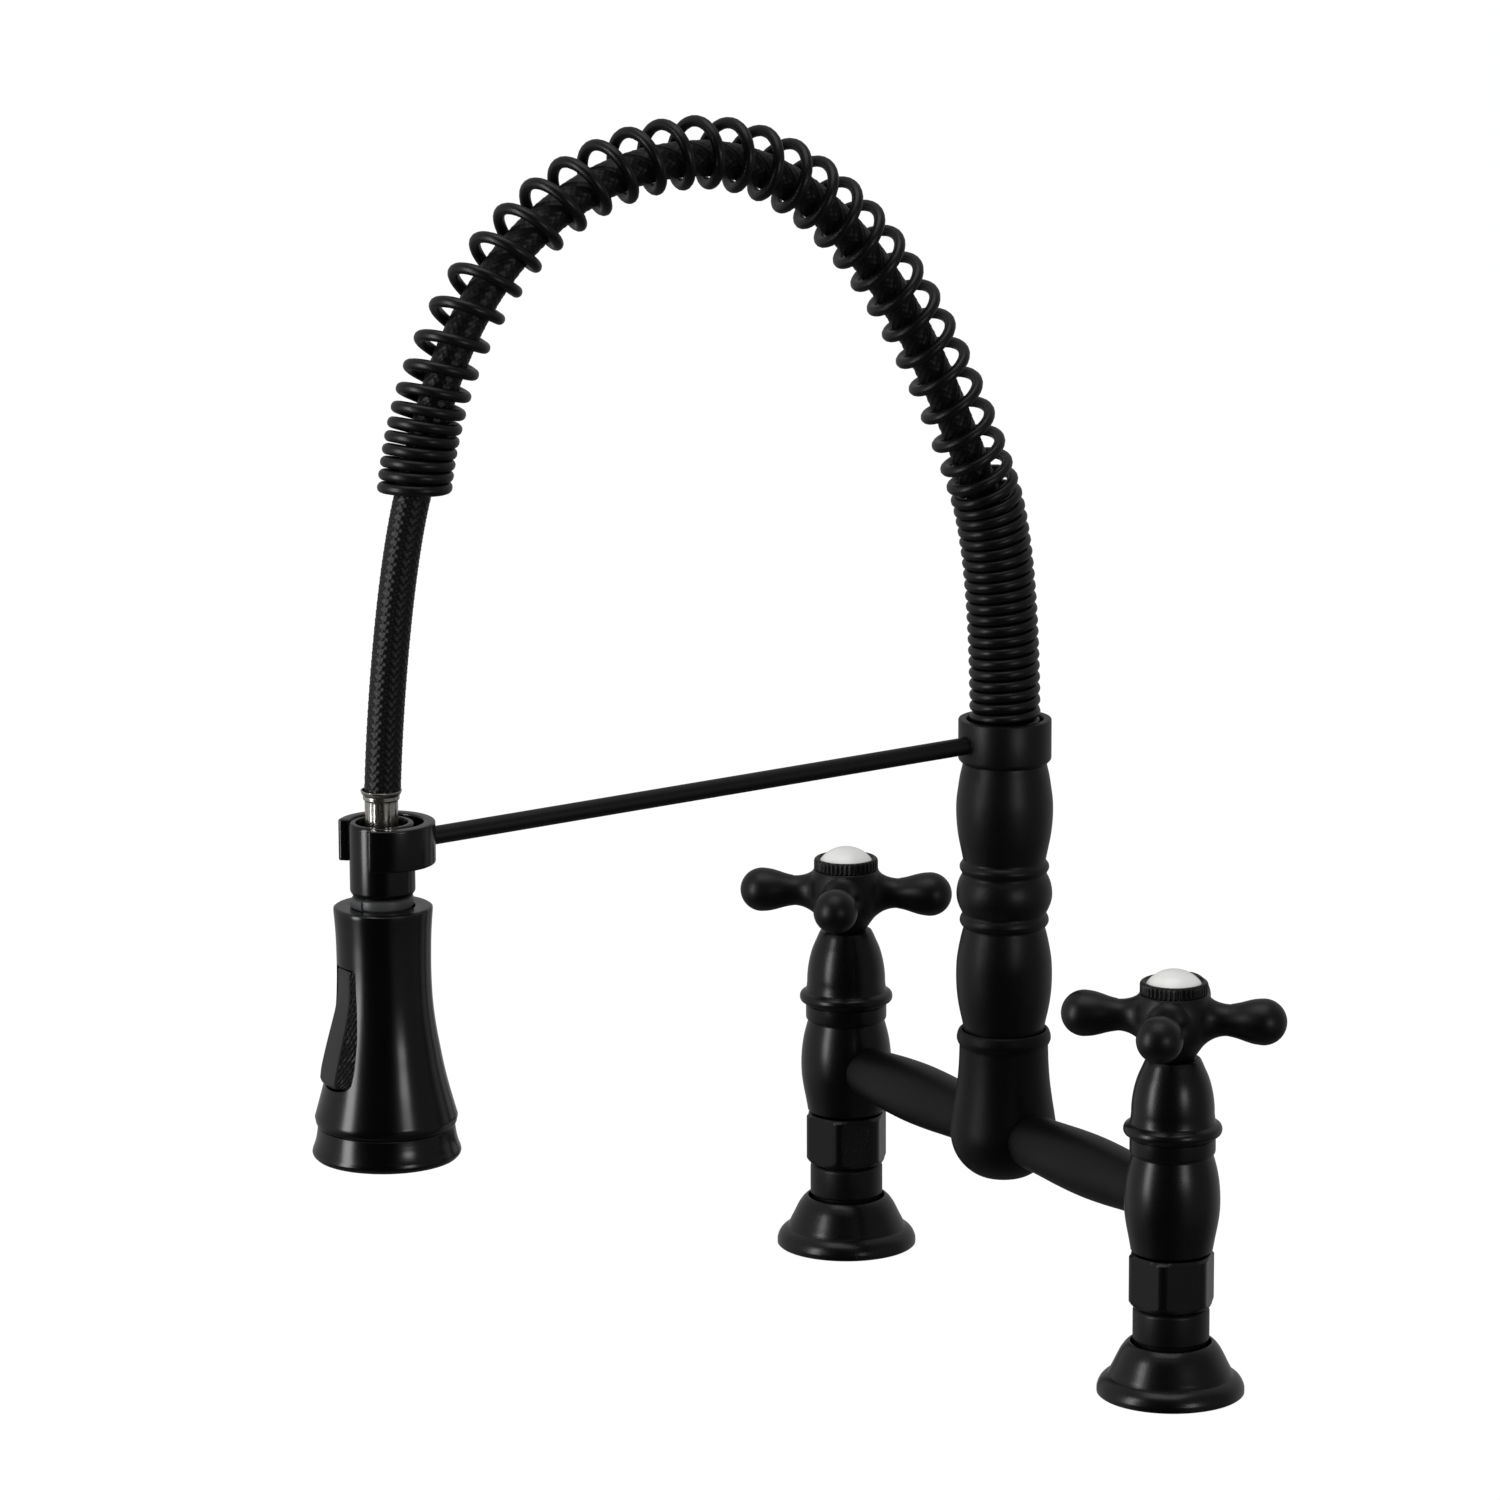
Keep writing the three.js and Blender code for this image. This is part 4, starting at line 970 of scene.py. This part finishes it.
# a round tube along points, ends domed
def tubeAlong(name, points, radius, around=14):
    n = len(points)
    tangents = [(points[min(i + 1, n - 1)] - points[max(i - 1, 0)]).normalized() for i in range(n)]
    first, last = tangents[0], tangents[-1]
    side = Vector((1, 0, 0))
    side = (side - first * side.dot(first)).normalized()

    def ringAt(centre, along, side, r):
        over = along.cross(side)
        turns = [tau * k / around for k in range(around)]
        return [tuple(centre + (side * cos(a) + over * sin(a)) * r) for a in turns]
    flat = 0.5  # a dome's height against its radius
    dome = [(0.99, 0.2), (0.88, 0.48), (0.62, 0.78), (0.3, 0.95)]
    rows = [ringAt(points[0] - first * radius * out * flat, first, side, radius * r) for out, r in dome]
    for point, along in zip(points, tangents):
        side = (side - along * side.dot(along)).normalized()
        rows.append(ringAt(point, along, side, radius))
    rows += [ringAt(points[-1] + last * radius * out * flat, last, side, radius * r)
             for out, r in reversed(dome)]
    return loft(name, rows)


# a point at each even share of a turn
def spring():
    wireR = arch["wireR"]
    s = spout["seat"] + wireR + arch["tips"][0] - arch["baseZ"]
    stop = archLength - wireR + arch["tips"][1]
    turns = (s - arch["firstTip"]) / arch["tightPitch"]
    fine, each = 0.05, 1 / arch["perTurn"]
    nextTurn = turns
    points = []
    while s <= stop:
        if turns >= nextTurn:
            at, outward = onArch(s)
            angle = tau * turns
            spoke = outward * cos(angle) + Vector((-sin(angle), 0, 0))
            points.append(at + spoke * arch["coilR"])
            nextTurn += each
        turns += fine / pitchAt(s)
        s += fine
    print("spring:", round((len(points) - 1) * each, 1), "turns")
    return tubeAlong("spring", points, wireR)


# woven sleeve: two sets of strands crossing over and under
def braidHeight(s, a, girth):
    n = arch["strands"]
    lay = tau * girth / n
    place = a * n / tau
    u, v = place + s / lay, place - s / lay
    nu, nv = floor(u), floor(v)
    overU = 0.5 + 0.5 * cos(pi * (v - 0.5 + nu))
    overV = 0.5 - 0.5 * cos(pi * (u - 0.5 + nv))
    ridgeU = 1 - (2 * (u - nu) - 1) ** 2
    ridgeV = 1 - (2 * (v - nv) - 1) ** 2
    return max(ridgeU * overU, ridgeV * overV)


def woven(name, centres, around, step):
    girth, depth, near = arch["hoseR"], arch["braidDepth"], 1
    line = np.array([tuple(c) for c in centres])
    run = lengths(line)
    count = int(run[-1] / step)
    side = Vector((1, 0, 0))
    rows = []
    for i in range(count + 1):
        s = run[-1] * i / count
        at = Vector(pointAt(s, run, line))
        ahead = Vector(pointAt(min(s + near, run[-1]), run, line))
        behind = Vector(pointAt(max(s - near, 0), run, line))
        over = (ahead - behind).normalized().cross(side)
        row = []
        for k in range(around):
            a = tau * k / around
            r = girth - depth + depth * braidHeight(s, a, girth)
            row.append(tuple(at + (side * cos(a) + over * sin(a)) * r))
        rows.append(row)
    return loft(name, rows)


# it lies on the inner side of the bend, and swings over to the outer side at the free end
def hoseCentres():
    over = arch["hug"] + arch["outerShift"]
    hugStart, hugRamp = arch["hugFrom"]
    count = 240
    centres = []
    for i in range(count + 1):
        s = archLength * i / count
        at, outward = onArch(s)
        late = max(s - (archLength - arch["swing"]), 0) / arch["swing"]
        centres.append(at + outward * (over * late**2 - arch["hug"] * smooth((s - hugStart) / hugRamp)))
    centres[0].z = spout["seat"] + 0.4
    return centres


ferruleTop = 214.3  # the hose ends just inside it


# on from the arch down to the ferrule
def lowerCentres():
    reach, start = spout["reach"], np.array(hoseCentres()[-1])[1:]
    lean = arch["drop"] + 2 * (arch["hug"] + arch["outerShift"]) / arch["swing"]
    leaving = np.array([sin(lean), cos(lean)])
    above, foot = (-reach + 1.7, ferruleTop + 27), (-reach + 0.5, ferruleTop - 0.6)
    line = bezier(start, start - 25 * leaving, above, foot, 80)
    return [Vector((0, y, z)) for y, z in line]


dress(spring(), "springCoat", "spout", "spring", edge=60)
dress(woven("hoseArch", hoseCentres(), 70, 0.5), "braid", "spout", "hose_arch", edge=60)
lowerHose = dress(woven("hoseLower", lowerCentres(), 98, 0.36), "braid", None, "hose_lower", edge=60)
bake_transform(lowerHose)
print("spring and hose ready")


# wand, drawn about its own axis
wand = {
    "neckR": 10.53,
    "neckZ": (179.8, 203.7),
    "keyWide": 20,  # half the angle of the key at the front of the grey ring
    "shellTop": 176.2,
    "skirtTop": 103.4,
    "bottom": 92.9,
    "rocker": (118.1, 156.9),
    "rockerGap": 0.62,
    "presses": 12,  # marks of the press on the ferrule
    "knurl": 1.5,
    "knurlDepth": 0.85,
    "nozzles": ((8, 12, 0), (12, 15.6, 0.5)),  # count, radius, turn as a share of a step
}
shellOutline = flowing([(23.1, 106.5), (21.85, 111), (20.1, 117.6), (18.8, 123.4), (17.7, 129.4),
                        (16.85, 134.2), (16.1, 139.6), (15.55, 145.2), (15.3, 150.4), (15.2, 156.4),
                        (15.25, 160.8), (15.4, 166.4), (15.72, 171.6), (16, 175)])


def ferrule():
    top, mark = ferruleTop, 0.22

    def pressed(r, z, a):
        if not 193 < z < 210.6 or r < 5:
            return r
        return r - mark * max(cos(wand["presses"] * a), 0) ** 2
    return lathe("ferrule", [
        (3.2, 191.8), (5.4, 191.8, 0.3), (5.4, 193.4), (5.4, 210.2), (5.4, 211, 0.2),
        (5.9, 211.3, 0.2), (5.9, 212.6, 0.2), (6.1, 212.8, 0.2), (6.5, 213.5, 0.3),
        (6.7, top, 0.2), (6.2, top, 0.1), (6.15, 212.9), (3.2, 212.9),
    ], around=120, shape=pressed)


def wandNeck():
    low, high = wand["neckZ"]
    r = wand["neckR"]
    return lathe("wandNeck", [
        (5.7, low + 2), (8.9, low + 0.2, 0.3), (9.5, low, 0.2), (r, low + 1.5, 0.4), (r, low + 12),
        (r, high - 0.9, 0.4), (r - 0.45, high - 0.15, 0.3), (r - 1, high, 0.2), (8.5, high, 0.3),
        (8.3, high - 2.2), (8, high - 3.4, 0.3), (7.7, high - 2.6, 0.3), (7, high - 2.5, 0.3),
        (6.7, high - 4.2), (5.7, high - 4.6), (5.7, high - 12),
    ], around=80)


# the grey ring under the neck, with a raised key at its front
def neckRing():
    low, high = wand["shellTop"], wand["neckZ"][0]
    front, key, flank = -pi / 2, radians(wand["keyWide"]), radians(0.8)
    raised, around = 0.75, 60

    def keyed(r, z, a):
        onKey = abs((a - front + pi) % tau - pi) < key + 0.01
        return r + raised if onKey and r > 9.7 and z > low + 0.1 else r
    angles = [front + key * t for t in (-1, -0.94, -0.6, -0.2, 0.2, 0.6, 0.94, 1)]
    angles += [front + key + (tau - 2 * key) * i / around for i in range(1, around)]
    angles += [front + key + flank, front - key - flank + tau]
    return lathe("neckRing", [
        (6.1, low - 4), (9.3, low - 4), (9.3, low - 0.2), (9.9, low + 0.2, 0.2), (9.9, low + 2.9, 0.2),
        (9.3, low + 3.3), (8.8, high - 0.1, 0.2), (8.5, high + 0.1), (6.1, high + 1.4),
    ], angles=sorted(angles), shape=keyed)


def shell():
    top = wand["shellTop"]
    solid = lathe("wandShell", [
        (20.5, 100.8), (20.5, 103.3), (22, 103.5, 0.15), (22.3, 103.75, 0.2), (22.75, 104.6, 0.4),
        *shellOutline,
        (15.95, top - 0.5), (15.3, top, 0.5), (10.4, top, 0.3), (10.4, top - 5), (12.4, top - 5),
        *flowing([(12.7, 147), (14, 137), (15.6, 126), (17.2, 116), (18.6, 110)], 3),
        (19.4, 108), (19.4, 100.8),
    ], around=128)
    return combined(solid, rockerHole(wand["rockerGap"]), "DIFFERENCE")


# from the top down: half its width, half its flat face, and how far forward that is
rockerTable = {
    "z": (157, 154, 150.5, 146.5, 142.5, 138.5, 134.5, 130.5, 126.5, 124, 121, 119.6, 118.6, 118.1),
    "half": (5.7, 5.8, 5.95, 6.35, 6.75, 7.2, 7.7, 8, 8.35, 8.35, 8.3, 8.3, 8.3, 8.3),
    "face": (3.95, 4.25, 4.5, 4.6, 4.45, 4.45, 4.7, 4.85, 4.95, 5, 4.8, 4.3, 3.3, 1.5),
    "depth": (14.75, 14.75, 14.85, 15.15, 15.95, 17, 18.1, 19.2, 20.25, 20.85, 21.35, 21, 20.1, 19.6),
}


def rockerAt(column, z):
    return float(np.interp(z, rockerTable["z"][::-1], rockerTable[column][::-1]))


# half its width: square at the top, round at the foot
def rockerHalf(z, grow=0.0):
    low, high = wand["rocker"][0] - grow, wand["rocker"][1] + grow
    side = rockerAt("half", z) + grow
    full = rockerAt("half", low) + grow
    foot, bend = full * 0.5, 1.3
    if z < low + foot:
        down = min(max((low + foot - z) / foot, 0), 1)
        side = min(side, full * max(1 - down**3.4, 0) ** 0.5)
    if z > high - bend:
        t = (z - (high - bend)) / bend
        side -= bend * (1 - sqrt(max(1 - t * t, 0)))
    return max(side, 0.05)


# heights that lie closer together towards both ends
def rockerHeights(grow, count):
    low, high = wand["rocker"][0] - grow, wand["rocker"][1] + grow
    return [low + (high - low) * (0.5 - 0.5 * cos(pi * i / count)) for i in range(count + 1)]


# what is taken out of the shell
def rockerHole(grow, near=10, beyond=30):
    right = [(rockerHalf(z, grow), z) for z in rockerHeights(grow, 40)]
    rim = right + [(-x, z) for x, z in reversed(right)]
    return loft("rockerHole", [[(x, -d, z) for x, z in rim] for d in (near, beyond)])


# smooth face, knurled cheeks that fall back to the shell
def rocker():
    zs = rockerHeights(0.0, 170)
    cheek, flat = 30, 8
    sunk, thick, crown = 0.75, 2.6, 0.1
    points, backs, faces = [], [], []
    for z in zs:
        half = rockerHalf(z)
        edge = sqrt(max(radiusOf(shellOutline, z) ** 2 - half**2, 1)) - sunk
        face = min(rockerAt("face", z), half * 0.62)
        front = rockerAt("depth", z)
        side = []
        for k in range(cheek + 1):
            t = k / cheek
            x = half + (face + 0.2 - half) * t
            along = hypot(half - face, front - edge) * t
            ribs = 0.5 + 0.5 * cos(tau * (along + z * 0.6) / wand["knurl"])
            cross = 0.5 + 0.5 * cos(tau * (along - z * 0.40) / wand["knurl"])
            rise = smooth((t - 0.03) / 0.1) * smooth((0.97 - t) / 0.08) * smooth((front - edge) / 1.2)
            cut = wand["knurlDepth"] * rise * (1 - max(ribs, 0.35 * cross))
            side.append((x - cut * 0.6, edge + (front - 0.22 - edge) * t - cut * 0.8))
        middle = []
        for k in range(1, flat):
            x = face * (1 - 2 * k / flat)
            middle.append((x, front + crown * (1 - (x / face) ** 2)))
        row = side + [(face, front)] + middle + [(-face, front)] + [(-x, d) for x, d in reversed(side)]
        points += [(x, -d, z) for x, d in row]
        backs += [(x, -(edge - thick), z) for x, d in row]
    n, last = len(row), len(zs) - 1
    back = len(points)
    for i in range(last):
        for q in range(i * n, i * n + n - 1):
            faces.append((q, q + 1, q + n + 1, q + n))
            faces.append((back + q, back + q + n, back + q + n + 1, back + q + 1))
        for q in (i * n, i * n + n - 1):
            faces.append((q, q + n, back + q + n, back + q))
    for i in (0, last):
        for q in range(i * n, i * n + n - 1):
            faces.append((q, q + 1, back + q + 1, back + q))
    return meshObject("sprayButton", points + backs, faces)


def skirt():
    low, top = wand["bottom"], wand["skirtTop"]
    return lathe("wandSkirt", [
        (21, top), (22, top, 0.12), (22.2, top - 0.25),
        *flowing([(22.35, top - 1.6), (22.8, top - 4.2), (23.5, 96.8), (23.95, 95.6), (24.1, 94.8)]),
        (23.9, 94, 0.5), (22.8, low, 0.4), (21.6, low, 0.4), (21, low + 0.8),
    ], around=112)


def sprayFace():
    low, top = wand["bottom"] + 0.4, wand["skirtTop"]
    back = low + 3.6
    return lathe("sprayFace", [
        (3.2, low - 0.5, 0.2), (6.2, low - 0.5, 0.3), (6.6, low), (8.6, low), (9, low + 0.4),
        (9.6, low + 0.4), (10, low), (17.9, low), (18.3, low + 0.35), (18.9, low + 0.35),
        (19.3, low), (20.6, low, 0.3), (20.6, back), (18.7, back), (18.7, top), (17, top),
        (17, back), (3.2, back),
    ], around=96)


def nozzles():
    low = wand["bottom"] - 0.6
    nub = [(0, low + 0.9), (0.25, low + 0.9), (0.3, low, 0.1), (0.8, low, 0.15), (1.05, low + 1.3),
           (0, low + 1.3)]
    made = []
    for count, r, turned in wand["nozzles"]:
        for i in range(count):
            a = tau * (i + turned) / count
            made.append(move(lathe("nozzle", nub, around=16), (r * cos(a), r * sin(a), 0)))
    return joined("nozzles", made)


# several pieces as one
def joined(name, parts):
    points, faces = [], []
    for part in parts:
        base = len(points)
        points += [tuple(v.co / mm) for v in part.data.vertices]
        faces += [[base + i for i in f.vertices] for f in part.data.polygons]
        bpy.data.objects.remove(part)
    return meshObject(name, points, faces)


for piece, *placing in (
    (ferrule(), "nickel", "hose_end", "hose_ferrule"),
    (wandNeck(), "wandCoat", "wand", "wand_neck"),
    (neckRing(), "greyPlastic", "wand", "neck_ring"),
    (shell(), "wandCoat", "wand", "wand_shell"),
    (skirt(), "wandCoat", "wand", "wand_skirt"),
    (sprayFace(), "greyPlastic", "wand", "spray_face"),
    (nozzles(), "rubber", "wand"),
    (rocker(), "blackPlastic", "button", "spray_button"),
):
    dress(move(piece, (0, -spout["reach"], 0)), *placing, edge=35 if "button" in placing else 30)
print("wand ready")

bpy.context.scene.view_settings.view_transform = "Standard"
